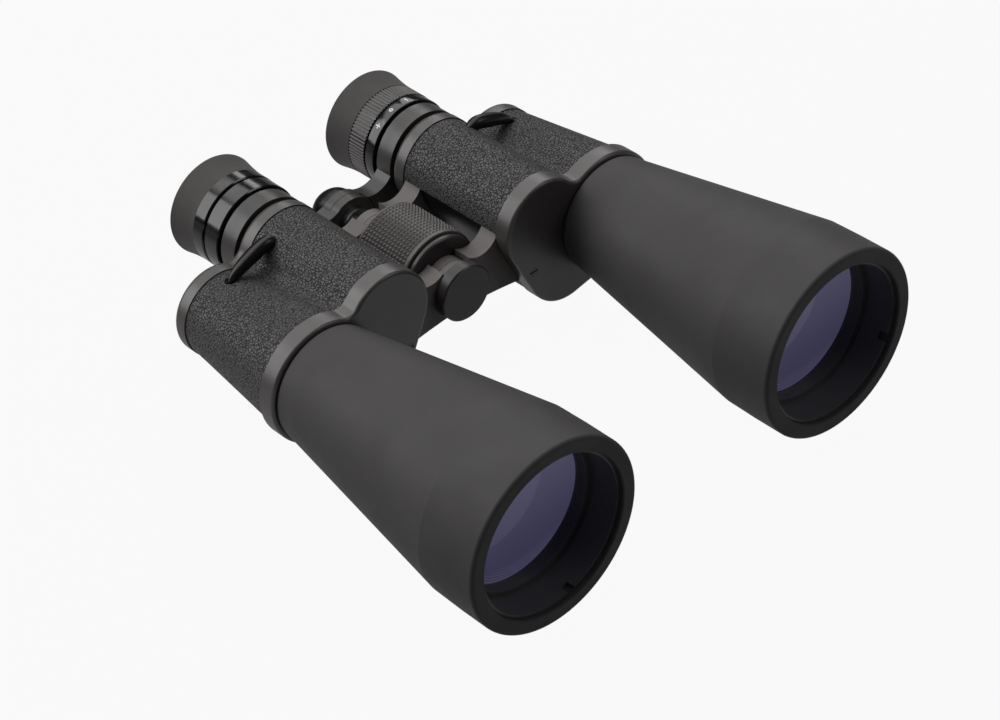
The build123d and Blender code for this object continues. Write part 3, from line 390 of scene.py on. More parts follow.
@dataclass(frozen=True)
class TurnedMetal(Finish):
    """Lathe-turned alloy, bare or under a thin coat: fine rings round its axis.

    The rings are drawn coarser than a real tool leaves them, so that they show.
    """

    metallic: float = 0.0
    ring_mm: float = 0.45
    ring_depth_mm: float = 0.012
    swing: float = 0.07
    axis_x: float = HINGE_X
    axis_z: float = HINGE_Z

    def dress(self, tree: Tree, coords: Socket) -> Feeds:
        """Adds the tool's rings round the axis and their uneven gloss.

        Args:
            tree: Material tree.
            coords: Object coordinates.

        Returns:
            What the shader's inputs take.
        """
        middle = place(self.axis_x, 0.0, self.axis_z)
        feeds = {"Vector": coords, "Location": (-middle.x, 0.0, -middle.z)}
        centred = add_node(tree, "ShaderNodeMapping", feeds)["Vector"]
        spot = add_node(tree, "ShaderNodeSeparateXYZ", {0: centred})
        flat = add_node(tree, "ShaderNodeCombineXYZ", {"X": spot["X"], "Z": spot["Z"]})["Vector"]
        away = add_node(tree, "ShaderNodeVectorMath", {0: flat}, operation="LENGTH")["Value"]
        track = add_node(tree, "ShaderNodeCombineXYZ", {"X": away, "Y": spot["Y"]})["Vector"]
        feeds = {"Vector": track, "Scale": 1 / (self.ring_mm * MM), "Detail": 3.0}
        rings = add_node(tree, "ShaderNodeTexNoise", feeds)["Fac"]
        feeds = {
            "Value": rings,
            "From Min": NOISE_LOW,
            "From Max": NOISE_HIGH,
            "To Min": self.roughness - self.swing,
            "To Max": self.roughness + self.swing,
        }
        gloss = add_node(tree, "ShaderNodeMapRange", feeds)["Result"]
        feeds = {"Height": rings, "Strength": 0.3, "Distance": self.ring_depth_mm * MM}
        bump = add_node(tree, "ShaderNodeBump", feeds)["Normal"]
        return {"Metallic": self.metallic, "Roughness": gloss, "Normal": bump}


@dataclass(frozen=True)
class OpticalGlass(Finish):
    """Polished optical glass under an anti-reflection coat, with a trace of haze."""

    reflex: str = "#8d90f0"
    through: float = 0.0
    ior: float = 1.55
    haze: float = 0.03
    haze_mm: float = 14.0

    def dress(self, tree: Tree, coords: Socket) -> Feeds:
        """Adds the coat's tinted reflection and the haze in its gloss.

        Args:
            tree: Material tree.
            coords: Object coordinates.

        Returns:
            What the shader's inputs take.
        """
        feeds = {"Vector": coords, "Scale": 1 / (self.haze_mm * MM), "Detail": 4.0}
        breath = add_node(tree, "ShaderNodeTexNoise", feeds)["Fac"]
        feeds = {
            "Value": breath,
            "From Min": 0.3,
            "From Max": 0.8,
            "To Min": self.roughness,
            "To Max": self.roughness + self.haze,
        }
        return {
            "IOR": self.ior,
            "Specular Tint": to_linear(self.reflex),
            "Transmission Weight": self.through,
            "Roughness": add_node(tree, "ShaderNodeMapRange", feeds)["Result"],
        }


@dataclass(frozen=True)
class ObjectiveGlass(OpticalGlass):
    """Front glass of an objective: a violet glow painted in as emission, with painted reflection
    arcs of the bore's rings.

    Heights count from the floor; the painted glow is lighter towards the top. The painted arcs come
    in between two radii and fade out between two heights.
    """

    # Painted glow: emission tones low and high that stand in for light, not the glass's own colour.
    painted_glow_low: str = "#37354c"
    painted_glow_high: str = "#4c4b60"
    low_mm: float = 14.0
    high_mm: float = 58.0
    # Painted reflection arcs: their tone, spacing, edge, radii and heights.
    painted_arc: str = "#4d4b60"
    arc_mm: float = 1.15
    arc_edge: float = 0.55
    arc_radii: tuple[float, float] = (19.5, 23.0)
    arc_heights: tuple[float, float] = (19.0, 12.0)

    def dress(self, tree: Tree, coords: Socket) -> Feeds:
        """Adds the painted glow, lighter with height, and the painted reflection arcs low in the
        glass.

        Args:
            tree: Material tree.
            coords: Object coordinates.

        Returns:
            What the shader's inputs take.
        """
        kind, ramp = "ShaderNodeMath", "ShaderNodeMapRange"
        smooth = {"interpolation_type": "SMOOTHSTEP"}
        spot = add_node(tree, "ShaderNodeSeparateXYZ", {0: coords})
        feeds = {"Value": spot["Z"], "From Min": self.low_mm * MM, "From Max": self.high_mm * MM}
        height = add_node(tree, ramp, feeds, **smooth)["Result"]
        low_tone, high_tone = to_linear(self.painted_glow_low), to_linear(self.painted_glow_high)
        feeds = {SHARE: height, COLOUR_A: low_tone, COLOUR_B: high_tone}
        tone = add_node(tree, "ShaderNodeMix", feeds, data_type="RGBA")[COLOUR_OUT]
        out = add_node(tree, kind, {0: spot["X"]}, operation="ABSOLUTE")["Value"]
        dx = add_node(tree, kind, {0: out, 1: OBJECTIVE_X * MM}, operation="SUBTRACT")["Value"]
        dz = add_node(tree, kind, {0: spot["Z"], 1: AXES_UP * MM}, operation="SUBTRACT")["Value"]
        flat = add_node(tree, "ShaderNodeCombineXYZ", {"X": dx, "Z": dz})["Vector"]
        away = add_node(tree, "ShaderNodeVectorMath", {0: flat}, operation="LENGTH")["Value"]
        per_metre = 2 * math.pi / (self.arc_mm * MM)
        phase = add_node(tree, kind, {0: away, 1: per_metre}, operation="MULTIPLY")["Value"]
        wave = add_node(tree, kind, {0: phase}, operation="SINE")["Value"]
        line = add_node(tree, ramp, {"Value": wave, "From Min": self.arc_edge})["Result"]
        first, last = self.arc_radii
        feeds = {"Value": away, "From Min": first * MM, "From Max": last * MM}
        band = add_node(tree, ramp, feeds, **smooth)["Result"]
        top, bottom = self.arc_heights
        feeds = {"Value": spot["Z"], "From Min": top * MM, "From Max": bottom * MM}
        low = add_node(tree, ramp, feeds, **smooth)["Result"]
        part = add_node(tree, kind, {0: band, 1: low}, operation="MULTIPLY")["Value"]
        much = add_node(tree, kind, {0: part, 1: line}, operation="MULTIPLY")["Value"]
        feeds = {SHARE: much, COLOUR_A: tone, COLOUR_B: to_linear(self.painted_arc)}
        lit = add_node(tree, "ShaderNodeMix", feeds, data_type="RGBA")[COLOUR_OUT]
        # Painted light: the glow and arcs go out as emission though the glass is no lamp.
        glow = {"Emission Color": lit, "Emission Strength": 1.0}
        return {**super().dress(tree, coords), **glow}


@dataclass(frozen=True)
class CastingWithPaintedShade(CoatedMetal):
    """Painted casting: lighter hinge lugs, and black on the wall between them as painted shade."""

    # Lighter tone of the hinge lugs; the black wall between them is painted shade.
    lug_tone: str = "#6d6967"
    lug_front: float = 128.1
    lug_rear: float = 160.8

    def dress(self, tree: Tree, coords: Socket) -> Feeds:
        """Adds the coating, then gives the lugs at both ends the lighter tone; the black left
        between them is painted shade.

        Args:
            tree: Material tree.
            coords: Object coordinates.

        Returns:
            What the shader's inputs take.
        """
        coating = super().dress(tree, coords)
        station = add_node(tree, "ShaderNodeSeparateXYZ", {0: coords})["Y"]
        middle = place(0.0, (self.lug_front + self.lug_rear) / 2, 0.0).y
        half = (self.lug_rear - self.lug_front) / 2 * MM
        kind = "ShaderNodeMath"
        off = add_node(tree, kind, {0: station, 1: middle}, operation="SUBTRACT")["Value"]
        away = add_node(tree, kind, {0: off}, operation="ABSOLUTE")["Value"]
        lug = add_node(tree, kind, {0: away, 1: half}, operation="GREATER_THAN")["Value"]
        # Painted shade: the wall between the lugs keeps the black, the lugs take the lighter tone.
        feeds = {SHARE: lug, COLOUR_A: coating["Base Color"], COLOUR_B: to_linear(self.lug_tone)}
        tone = add_node(tree, "ShaderNodeMix", feeds, data_type="RGBA")[COLOUR_OUT]
        return {**coating, "Base Color": tone}


# Matte charcoal spray on the objective tubes: broad soft highlights.
TUBE_SPRAY = CoatedMetal(
    "charcoal_sprayed_aluminium", "#494748", roughness=0.58, specular=0.22,
    cloud="#424041", tooth_mm=0.4,
)
# Smoother satin paint on the prism covers: tighter highlights along the edges.
COVER_PAINT = CoatedMetal(
    "satin_black_paint_on_alloy", "#494544", roughness=0.36, specular=0.65,
    cloud="#403c3b", tooth_mm=0.5, tooth_depth_mm=0.006,
)
# Satin black of the strap bars: a soft line of light along each bar.
LUG_PAINT = CoatedMetal(
    "satin_black_painted_bar", "#131212", roughness=0.32, specular=0.4,
    cloud="#0f0e0e", tooth_mm=0.5, tooth_depth_mm=0.005,
)
# Casting coat: black as painted shade on the wall between the lugs, a lighter tone on its hinge
# lugs.
CASTING_PAINT = CastingWithPaintedShade(
    "casting_painted_shade_wall", "#131212", roughness=0.46, specular=0.25,
    cloud="#0f0e0e", tooth_mm=0.6, tooth_depth_mm=0.008,
)
# Blackened heads of the cover screws: a small glint on each.
SCREW_BLACK = CoatedMetal(
    "blackened_screw_steel", "#4c4a4a", roughness=0.3,
    cloud="#403e3e", tooth_mm=0.3, tooth_depth_mm=0.004,
)
# Pebbled vinyl covering of the prism housings: grey tops in a net of creases painted dark as
# painted shade.
HOUSING_SKIN = Leatherette("black_pebbled_leatherette", "#4d4b4b", roughness=0.46, specular=0.42)
# Moulded rubber of the eyecups: dull and warm, with no clear reflection.
EYECUP_RUBBER = MouldedRubber("moulded_black_rubber", "#4a4646", roughness=0.7, specular=0.25)
# Polished moulded rings of the eyepieces: hard bright windows on black.
EYEPIECE_GLOSS = PolishedPlastic("polished_black_acetal", "#171617", roughness=0.1, specular=0.6)
# Anodised bridge arms: fine turning lines run round each eyepiece.
LEFT_BRIDGE = TurnedMetal(
    "turned_anodised_left_arm", "#3b3938", roughness=0.33,
    axis_x=-EYE_X, axis_z=EYE_Z,
)
RIGHT_BRIDGE = TurnedMetal(
    "turned_anodised_right_arm", "#3b3938", roughness=0.33,
    axis_x=EYE_X, axis_z=EYE_Z,
)
# Satin black sleeve that holds the objective: lit a little at its lower edge.
SLEEVE_BLACK = CoatedMetal(
    "satin_black_anodised_sleeve", "#5e5b5b", roughness=0.4, specular=0.3,
    cloud="#565353", tooth_mm=0.5, tooth_depth_mm=0.005,
)
# Matte black inside the tubes, so that stray light dies there.
BLACK_INSIDE = CoatedMetal(
    "matte_black_anodised_bore", "#0d0d0e", roughness=0.55, specular=0.3,
    cloud="#080808", tooth_mm=0.5,
)
# Turned hinge parts with a black coat: a faint sweep of light round the axis.
HINGE_TURNED = TurnedMetal("turned_black_hinge_metal", "#343131", roughness=0.36, specular=0.4)
# Bare steel of the axle, spindle and clips: the only bright metal in view.
STEEL = TurnedMetal("turned_bright_steel", "#8b8b8c", roughness=0.3, metallic=1.0)
# Hard moulded grip of the focus wheel and dioptre ring: each knurl takes a highlight.
WHEEL_GRIP = PolishedPlastic("moulded_black_grip", "#5a5756", roughness=0.4, specular=0.4)
# Domed end cap of the bridge: deep black with one soft highlight.
DOME_GLOSS = PolishedPlastic("moulded_black_dome", "#0d0d0d", roughness=0.3, specular=0.35)
# Coated objective glass with a painted glow: greyer and lighter at the top, bluer and darker at the
# bottom, with painted reflection arcs low down.
OBJECTIVE_GLASS = ObjectiveGlass(
    "objective_glass_painted_glow", "#0c0c14", roughness=0.03, specular=0.2,
)
# Dark cemented rear glass of the objective, behind the front glass.
FLINT_GLASS = OpticalGlass("dark_flint_glass", "#15162a", roughness=0.03)
# Coated eyepiece glass: violet-blue, seen deep in the eyecups.
EYE_GLASS = OpticalGlass("violet_coated_eye_glass", "#191928", roughness=0.03)
# Clear prism glass inside the housings, which the covers hide.
PRISM_GLASS = OpticalGlass(
    "clear_prism_glass", "#dfe6e4", roughness=0.02,
    reflex="#ffffff", through=1.0, ior=1.57,
)
# White filling of the dioptre signs: flat and matte, the only white on the object.
SIGN_PAINT = CoatedMetal(
    "white_sign_paint", "#e9e9e6", roughness=0.5, specular=0.4,
    cloud="#dcdcd8", tooth_mm=0.3,
)


# Mesh building: turned profiles, and shapes repeated by Geometry Nodes.


def finish_mesh(name: str, mesh: bpy.types.Mesh, crease_deg: float = 38.0) -> bpy.types.Object:
    """Closes a mesh's doubles, turns its faces outwards and links an object.

    Args:
        name: Object name.
        mesh: Mesh with its place in its vertices.
        crease_deg: Angle above which an edge stays sharp.

    Returns:
        The linked object.
    """
    same_spot = 1e-7
    work = bmesh.new()
    work.from_mesh(mesh)
    bmesh.ops.remove_doubles(work, verts=work.verts, dist=same_spot)
    bmesh.ops.recalc_face_normals(work, faces=work.faces)
    work.to_mesh(mesh)
    work.free()
    mesh.shade_smooth()
    mesh.set_sharp_from_angle(angle=math.radians(crease_deg))
    obj = bpy.data.objects.new(name, mesh)
    bpy.context.scene.collection.objects.link(obj)
    return obj


@dataclass(frozen=True)
class Corner:
    """Corner of a turned profile: radius, station and rounding."""

    r: float
    y: float
    soft: float = 0.0


def soften(corners: Sequence[Corner], steps: int = 5) -> list[Corner]:
    """Rounds the corners of a closed profile.

    Args:
        corners: Corners in order.
        steps: Chords on each rounding.

    Returns:
        The profile with every rounding drawn as short chords.
    """
    most_of_side = 0.49
    out: list[Corner] = []
    n = len(corners)
    for i, c in enumerate(corners):
        if c.soft <= 0:
            out.append(c)
            continue
        here = Vector((c.r, c.y))
        back = Vector((corners[i - 1].r, corners[i - 1].y)) - here
        ahead = Vector((corners[(i + 1) % n].r, corners[(i + 1) % n].y)) - here
        reach = min(c.soft, most_of_side * back.length, most_of_side * ahead.length)
        a = here + back.normalized() * reach
        b = here + ahead.normalized() * reach
        for k in range(steps + 1):
            t = k / steps
            p = a * (1 - t) ** 2 + here * 2 * t * (1 - t) + b * t**2
            out.append(Corner(p.x, p.y))
    return out


def lathe(
    name: str,
    corners: Sequence[Corner],
    axis: tuple[float, float],
    finish: Finish,
    segments: int = 144,
) -> bpy.types.Object:
    """Turns a closed profile about an axis along Y.

    Args:
        name: Object name.
        corners: Profile corners in millimetres.
        axis: X and Z of the axis in the drawing frame.
        finish: Finish of the whole piece.
        segments: Steps round the axis.

    Returns:
        The turned object.
    """
    pole_r = 1e-6
    verts: list[Vector] = []
    rings: list[list[int]] = []
    for c in soften(corners):
        if c.r < pole_r:
            rings.append([len(verts)] * segments)
            verts.append(place(axis[0], c.y, axis[1]))
            continue
        rings.append(list(range(len(verts), len(verts) + segments)))
        for k in range(segments):
            a = 2 * math.pi * k / segments
            verts.append(place(axis[0] + c.r * math.cos(a), c.y, axis[1] + c.r * math.sin(a)))
    faces: list[tuple[int, ...]] = []
    for i, ring in enumerate(rings):
        other = rings[(i + 1) % len(rings)]
        for k in range(segments):
            j = (k + 1) % segments
            quad = tuple(dict.fromkeys((ring[k], ring[j], other[j], other[k])))
            if len(quad) > 2:
                faces.append(quad)
    mesh = bpy.data.meshes.new(name)
    mesh.from_pydata([tuple(v) for v in verts], [], faces)
    mesh.materials.append(finish.material())
    return finish_mesh(name, mesh)


def grow(name: str, tree: Tree, sizes: dict[str, Any], finish: Finish) -> bpy.types.Object:
    """Runs a geometry tree once and keeps its result as a plain mesh.

    Args:
        name: Object name.
        tree: Tree that makes the mesh.
        sizes: Value of each named input.
        finish: Finish set by the tree.

    Returns:
        An object at the origin with the realised mesh.
    """
    crease_deg = 30.0
    values = {**sizes, "Finish": finish.material()}
    seed = bpy.data.objects.new(name + ".seed", bpy.data.meshes.new(name + ".seed"))
    bpy.context.scene.collection.objects.link(seed)
    mod = seed.modifiers.new("grow", "NODES")
    mod.node_group = tree
    for item in tree.interface.items_tree:
        if item.item_type == "SOCKET" and item.in_out == "INPUT" and item.name in values:
            mod[item.identifier] = values[item.name]
    made = read_mesh(seed)
    seed.modifiers.remove(mod)
    bpy.data.objects.remove(seed)
    made.name = name
    return finish_mesh(name, made, crease_deg)


def read_mesh(obj: bpy.types.Object) -> bpy.types.Mesh:
    """Copies the evaluated mesh of an object."""
    graph = bpy.context.evaluated_depsgraph_get()
    return bpy.data.meshes.new_from_object(obj.evaluated_get(graph))


def new_tree(name: str, sizes: Sequence[str], counts: Sequence[str]) -> tuple[Tree, Sockets]:
    """Starts a geometry tree with named inputs and one geometry output.

    Args:
        name: Tree name.
        sizes: Names of its number inputs.
        counts: Names of its whole-number inputs.

    Returns:
        The tree and the sockets of its inputs.
    """
    tree = bpy.data.node_groups.new(name, "GeometryNodeTree")
    wanted = {"Geometry": "NodeSocketGeometry"}
    wanted |= {label: "NodeSocketFloat" for label in sizes}
    wanted |= {label: "NodeSocketInt" for label in counts}
    wanted["Finish"] = "NodeSocketMaterial"
    for label, kind in wanted.items():
        tree.interface.new_socket(label, in_out="INPUT", socket_type=kind)
    tree.interface.new_socket("Geometry", in_out="OUTPUT", socket_type="NodeSocketGeometry")
    return tree, add_node(tree, "NodeGroupInput")


def close_tree(tree: Tree, given: Sockets, points: Socket, shape: Socket, rotation: Socket) -> None:
    """Sets a shape on points, realises it and gives it its material.

    Args:
        tree: Tree to close.
        given: Sockets of its inputs.
        points: Geometry socket of the points.
        shape: Geometry socket of the repeated shape.
        rotation: Rotation socket for each copy.
    """
    feeds = {"Points": points, "Instance": shape, "Rotation": rotation}
    copies = add_node(tree, "GeometryNodeInstanceOnPoints", feeds)["Instances"]
    solid = add_node(tree, "GeometryNodeRealizeInstances", {"Geometry": copies})["Geometry"]
    feeds = {"Geometry": solid, "Material": given["Finish"]}
    dressed = add_node(tree, "GeometryNodeSetMaterial", feeds)["Geometry"]
    add_node(tree, "NodeGroupOutput", {"Geometry": dressed})


def away_from_axis(tree: Tree, given: Sockets) -> Socket:
    """Adds the direction from the input axis to each point, square to Y.

    Args:
        tree: Geometry tree with inputs Axis X and Axis Z.
        given: Sockets of its inputs.

    Returns:
        The vector socket.
    """
    here = add_node(tree, "GeometryNodeInputPosition")["Position"]
    spot = add_node(tree, "ShaderNodeSeparateXYZ", {0: here})
    offset = {}
    for way in ("X", "Z"):
        feeds = {0: spot[way], 1: given["Axis " + way]}
        offset[way] = add_node(tree, "ShaderNodeMath", feeds, operation="SUBTRACT")["Value"]
    return add_node(tree, "ShaderNodeCombineXYZ", offset)["Vector"]


def round_axis(tree: Tree, given: Sockets, points: Socket, turn: Socket, along: Socket) -> Socket:
    """Moves points onto a cylinder about the input axis.

    Args:
        tree: Geometry tree with inputs Axis X, Axis Z and Radius.
        given: Sockets of its inputs.
        points: Geometry socket of the points.
        turn: Angle socket in radians.
        along: Station socket in metres.

    Returns:
        Geometry socket of the moved points.
    """
    kind = "ShaderNodeMath"
    spot = {"Y": along}
    for way, wave in (("X", "SINE"), ("Z", "COSINE")):
        share = add_node(tree, kind, {0: turn}, operation=wave)["Value"]
        feeds = {0: share, 1: given["Radius"], 2: given["Axis " + way]}
        spot[way] = add_node(tree, kind, feeds, operation="MULTIPLY_ADD")["Value"]
    target = add_node(tree, "ShaderNodeCombineXYZ", spot)["Vector"]
    feeds = {"Geometry": points, "Position": target}
    return add_node(tree, "GeometryNodeSetPosition", feeds)["Geometry"]


def knurl_tree() -> Tree:
    """Builds the tree that sets rows of small pyramids round a wheel.

    Returns:
        The tree, with inputs for the axis, radius, counts and pyramid.
    """
    half_grid = 0.5
    sizes = ("Axis X", "Axis Z", "Radius", "Start", "Length", "Sweep", "Foot", "Flat", "Height")
    tree, given = new_tree("knurl_pyramids", sizes, ("Columns", "Rows"))
    feeds = {"Vertices X": given["Columns"], "Vertices Y": given["Rows"]}
    unit = {"Size X": 2 * half_grid, "Size Y": 2 * half_grid}
    grid = add_node(tree, "GeometryNodeMeshGrid", {**unit, **feeds})["Mesh"]
    here = add_node(tree, "GeometryNodeInputPosition")["Position"]
    spot = add_node(tree, "ShaderNodeSeparateXYZ", {0: here})
    kind = "ShaderNodeMath"
    column = add_node(tree, kind, {0: spot["X"], 1: half_grid}, operation="ADD")["Value"]
    turn = add_node(tree, kind, {0: column, 1: given["Sweep"]}, operation="MULTIPLY")["Value"]
    row = add_node(tree, kind, {0: spot["Y"], 1: half_grid}, operation="ADD")["Value"]
    feeds = {0: row, 1: given["Length"], 2: given["Start"]}
    along = add_node(tree, kind, feeds, operation="MULTIPLY_ADD")["Value"]
    points = round_axis(tree, given, grid, turn, along)
    feeds = {
        "Vertices": 4,
        "Radius Top": given["Flat"],
        "Radius Bottom": given["Foot"],
        "Depth": given["Height"],
    }
    cone = add_node(tree, "GeometryNodeMeshCone", feeds)["Mesh"]
    feeds = {"Geometry": cone, "Rotation": (0.0, 0.0, math.pi / 4)}
    square = add_node(tree, "GeometryNodeTransform", feeds)["Geometry"]
    feeds = {0: away_from_axis(tree, given), 1: ALONG_Y}
    outward = add_node(tree, "FunctionNodeAxesToRotation", feeds, **Z_THEN_X)["Rotation"]
    close_tree(tree, given, points, square, outward)
    return tree


def rib_tree() -> Tree:
    """Builds the tree that sets round-topped ribs about a ring.

    Returns:
        The tree, with inputs for the axis, radius, count and rib.
    """
    sizes = ("Axis X", "Axis Z", "Radius", "Station", "Step", "Half Width", "Length")
    tree, given = new_tree("grip_ribs", sizes, ("Count",))
    line = add_node(tree, "GeometryNodeMeshLine", {"Count": given["Count"]})["Mesh"]
    order = add_node(tree, "GeometryNodeInputIndex")["Index"]
    feeds = {0: order, 1: given["Step"]}
    turn = add_node(tree, "ShaderNodeMath", feeds, operation="MULTIPLY")["Value"]
    points = round_axis(tree, given, line, turn, given["Station"])
    feeds = {"Vertices": 10, "Radius": given["Half Width"], "Depth": given["Length"]}
    rod = add_node(tree, "GeometryNodeMeshCylinder", feeds)["Mesh"]
    feeds = {0: ALONG_Y, 1: away_from_axis(tree, given)}
    lying = add_node(tree, "FunctionNodeAxesToRotation", feeds, **Z_THEN_X)["Rotation"]
    close_tree(tree, given, points, rod, lying)
    return tree


def ridge_tree() -> Tree:
    """Builds the tree that lays anti-glare rings along a bore.

    Returns:
        The tree, with inputs for the axis, radius, count and wire.
    """
    sizes = ("Axis X", "Axis Z", "Radius", "Start", "Step", "Wire")
    tree, given = new_tree("anti_glare_ridges", sizes, ("Count",))
    feeds = {"X": given["Axis X"], "Y": given["Start"], "Z": given["Axis Z"]}
    start = add_node(tree, "ShaderNodeCombineXYZ", feeds)["Vector"]
    step = add_node(tree, "ShaderNodeCombineXYZ", {"Y": given["Step"]})["Vector"]
    feeds = {"Count": given["Count"], "Start Location": start, "Offset": step}
    line = add_node(tree, "GeometryNodeMeshLine", feeds)["Mesh"]
    circle = "GeometryNodeCurvePrimitiveCircle"
    loop = add_node(tree, circle, {"Resolution": 120, "Radius": given["Radius"]})["Curve"]
    wire = add_node(tree, circle, {"Resolution": 6, "Radius": given["Wire"]})["Curve"]
    feeds = {"Curve": loop, "Profile Curve": wire}
    ring = add_node(tree, "GeometryNodeCurveToMesh", feeds)["Mesh"]
    feeds = {0: ALONG_Y, 1: ALONG_X}
    lying = add_node(tree, "FunctionNodeAxesToRotation", feeds, **Z_THEN_X)["Rotation"]
    close_tree(tree, given, line, ring, lying)
    return tree


# Sub-assemblies: each dresses its CAD nodes and makes the pieces that replace some.


def dress_nodes(finish: Finish, *names: str) -> None:
    """Gives CAD nodes that stay in view their finish.

    Args:
        finish: Finish for all of them.
        names: Node names.
    """
    for name in names:
        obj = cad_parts[name]
        for slot in obj.material_slots:
            slot.material = finish.material()
        LOG.info("node %s takes %s", name, finish.name)


@dataclass
class Barrel:
    """One barrel: objective tube, prism housing and their optics."""

    side: Side
    bore_r: float = 27.4
    ridge_start: float = 15.2
    ridge_step: float = 0.8
    ridge_count: int = 5
    ridge_wire: float = 0.14
    glass_r: float = 29.6
    glass_front: float = 17.5
    glass_back: float = 20.5
    glass_bow: float = 179.8
    glass_rings: int = 16
    glass_segments: int = 96

    def build(self, ridges: Tree) -> None:
        """Dresses the barrel's nodes and adds its front glass and mouth ridges.

        Args:
            ridges: Tree of the anti-glare rings.
        """
        w = self.side.word
        dress_nodes(TUBE_SPRAY, w + "_objective_tube")
        dress_nodes(COVER_PAINT, w + "_front_cover", w + "_rear_cover")
        dress_nodes(CASTING_PAINT, w + "_prism_housing")
        dress_nodes(HOUSING_SKIN, w + "_leatherette")
        dress_nodes(SLEEVE_BLACK, w + "_objective_retainer")
        dress_nodes(BLACK_INSIDE, w + "_ocular_guide", w + "_ocular_tube", w + "_lens_cell")
        dress_nodes(FLINT_GLASS, w + "_objective_flint")
        dress_nodes(PRISM_GLASS, w + "_rear_prism", w + "_front_prism")
        dress_nodes(EYE_GLASS, w + "_field_lens", w + "_eye_lens")
        dress_nodes(STEEL, w + "_prism_clips")
        dress_nodes(SCREW_BLACK, w + "_front_cover_screw", w + "_rear_cover_screws")
        glass = self.front_glass()
        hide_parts(w + "_objective_crown")
        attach(glass, self.side.body)
        LOG.info("made %s", glass.name)
        rings = self.mouth_ridges(ridges)
        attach(rings, self.side.body)
        LOG.info("made %s", rings.name)

    def front_glass(self) -> bpy.types.Object:
        """Turns the front element of the objective with an evenly curved face.

        Returns:
            The glass, in the place of its plain solid.
        """
        face = []
        for k in range(self.glass_rings + 1):
            r = self.glass_r * k / self.glass_rings
            sag = self.glass_bow - math.sqrt(self.glass_bow**2 - r**2)
            face.append(Corner(r, self.glass_front + sag))
        edge = (Corner(self.glass_r, self.glass_back), Corner(0.0, self.glass_back))
        name = self.side.word + "_objective_glass"
        axis = (self.side.value * OBJECTIVE_X, 0.0)
        return lathe(name, (*face, *edge), axis, OBJECTIVE_GLASS, self.glass_segments)

    def mouth_ridges(self, ridges: Tree) -> bpy.types.Object:
        """Lays the anti-glare rings inside the tube's mouth.

        Args:
            ridges: Tree of the rings.

        Returns:
            All rings as one mesh.
        """
        start = place(self.side.value * OBJECTIVE_X, self.ridge_start, 0.0)
        sizes = {
            "Axis X": start.x,
            "Axis Z": start.z,
            "Radius": self.bore_r * MM,
            "Start": start.y,
            "Step": self.ridge_step * MM,
            "Count": self.ridge_count,
            "Wire": self.ridge_wire * MM,
        }
        return grow(self.side.word + "_mouth_ridges", ridges, sizes, SLEEVE_BLACK)


@dataclass
class StrapBar:
    """Tapered bar that the neck strap is threaded under.

    The route gives X, height and radius from the objective's lobe to the eyepiece's.
    """

    side: Side
    station: float = 162.5
    route: tuple[tuple[float, float, float], ...] = (
        (66.9, 14.8, 0.9), (66.0, 17.6, 1.5), (62.4, 20.0, 2.2),
        (58.0, 21.9, 2.7), (53.6, 23.5, 2.8), (49.9, 24.7, 2.6),
        (47.5, 24.2, 2.4), (46.1, 22.2, 2.2), (45.2, 20.6, 2.0),
    )

    def build(self) -> None:
        """Draws the bar along its route and sets it in place of the plain one."""
        w = self.side.word
        drawn = bpy.data.objects.new(w + "_strap_bar.line", self.curve())
        bpy.context.scene.collection.objects.link(drawn)
        mesh = read_mesh(drawn)
        bpy.data.objects.remove(drawn)
        mesh.name = w + "_strap_bar"
        mesh.materials.clear()
        mesh.materials.append(LUG_PAINT.material())
        bar = finish_mesh(w + "_strap_bar", mesh)
        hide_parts(w + "_strap_lug")
        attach(bar, self.side.body)
        LOG.info("made %s", bar.name)

    def curve(self) -> bpy.types.Curve:
        """Draws the route as a round curve that swells in the middle.

        Returns:
            The curve, with a radius in millimetres at each point.
        """
        line = bpy.data.curves.new(self.side.word + "_strap_bar.line", "CURVE")
        line.dimensions = "3D"
        line.bevel_depth = MM
        line.bevel_resolution = 6
        line.resolution_u = 6
        line.use_fill_caps = True
        spline = line.splines.new("NURBS")
        spline.points.add(len(self.route) - 1)
        for point, (x, z, r) in zip(spline.points, self.route):
            point.co = (*place(self.side.value * x, self.station, z), 1.0)
            point.radius = r
        spline.order_u = 3
        spline.use_endpoint_u = True
        return line


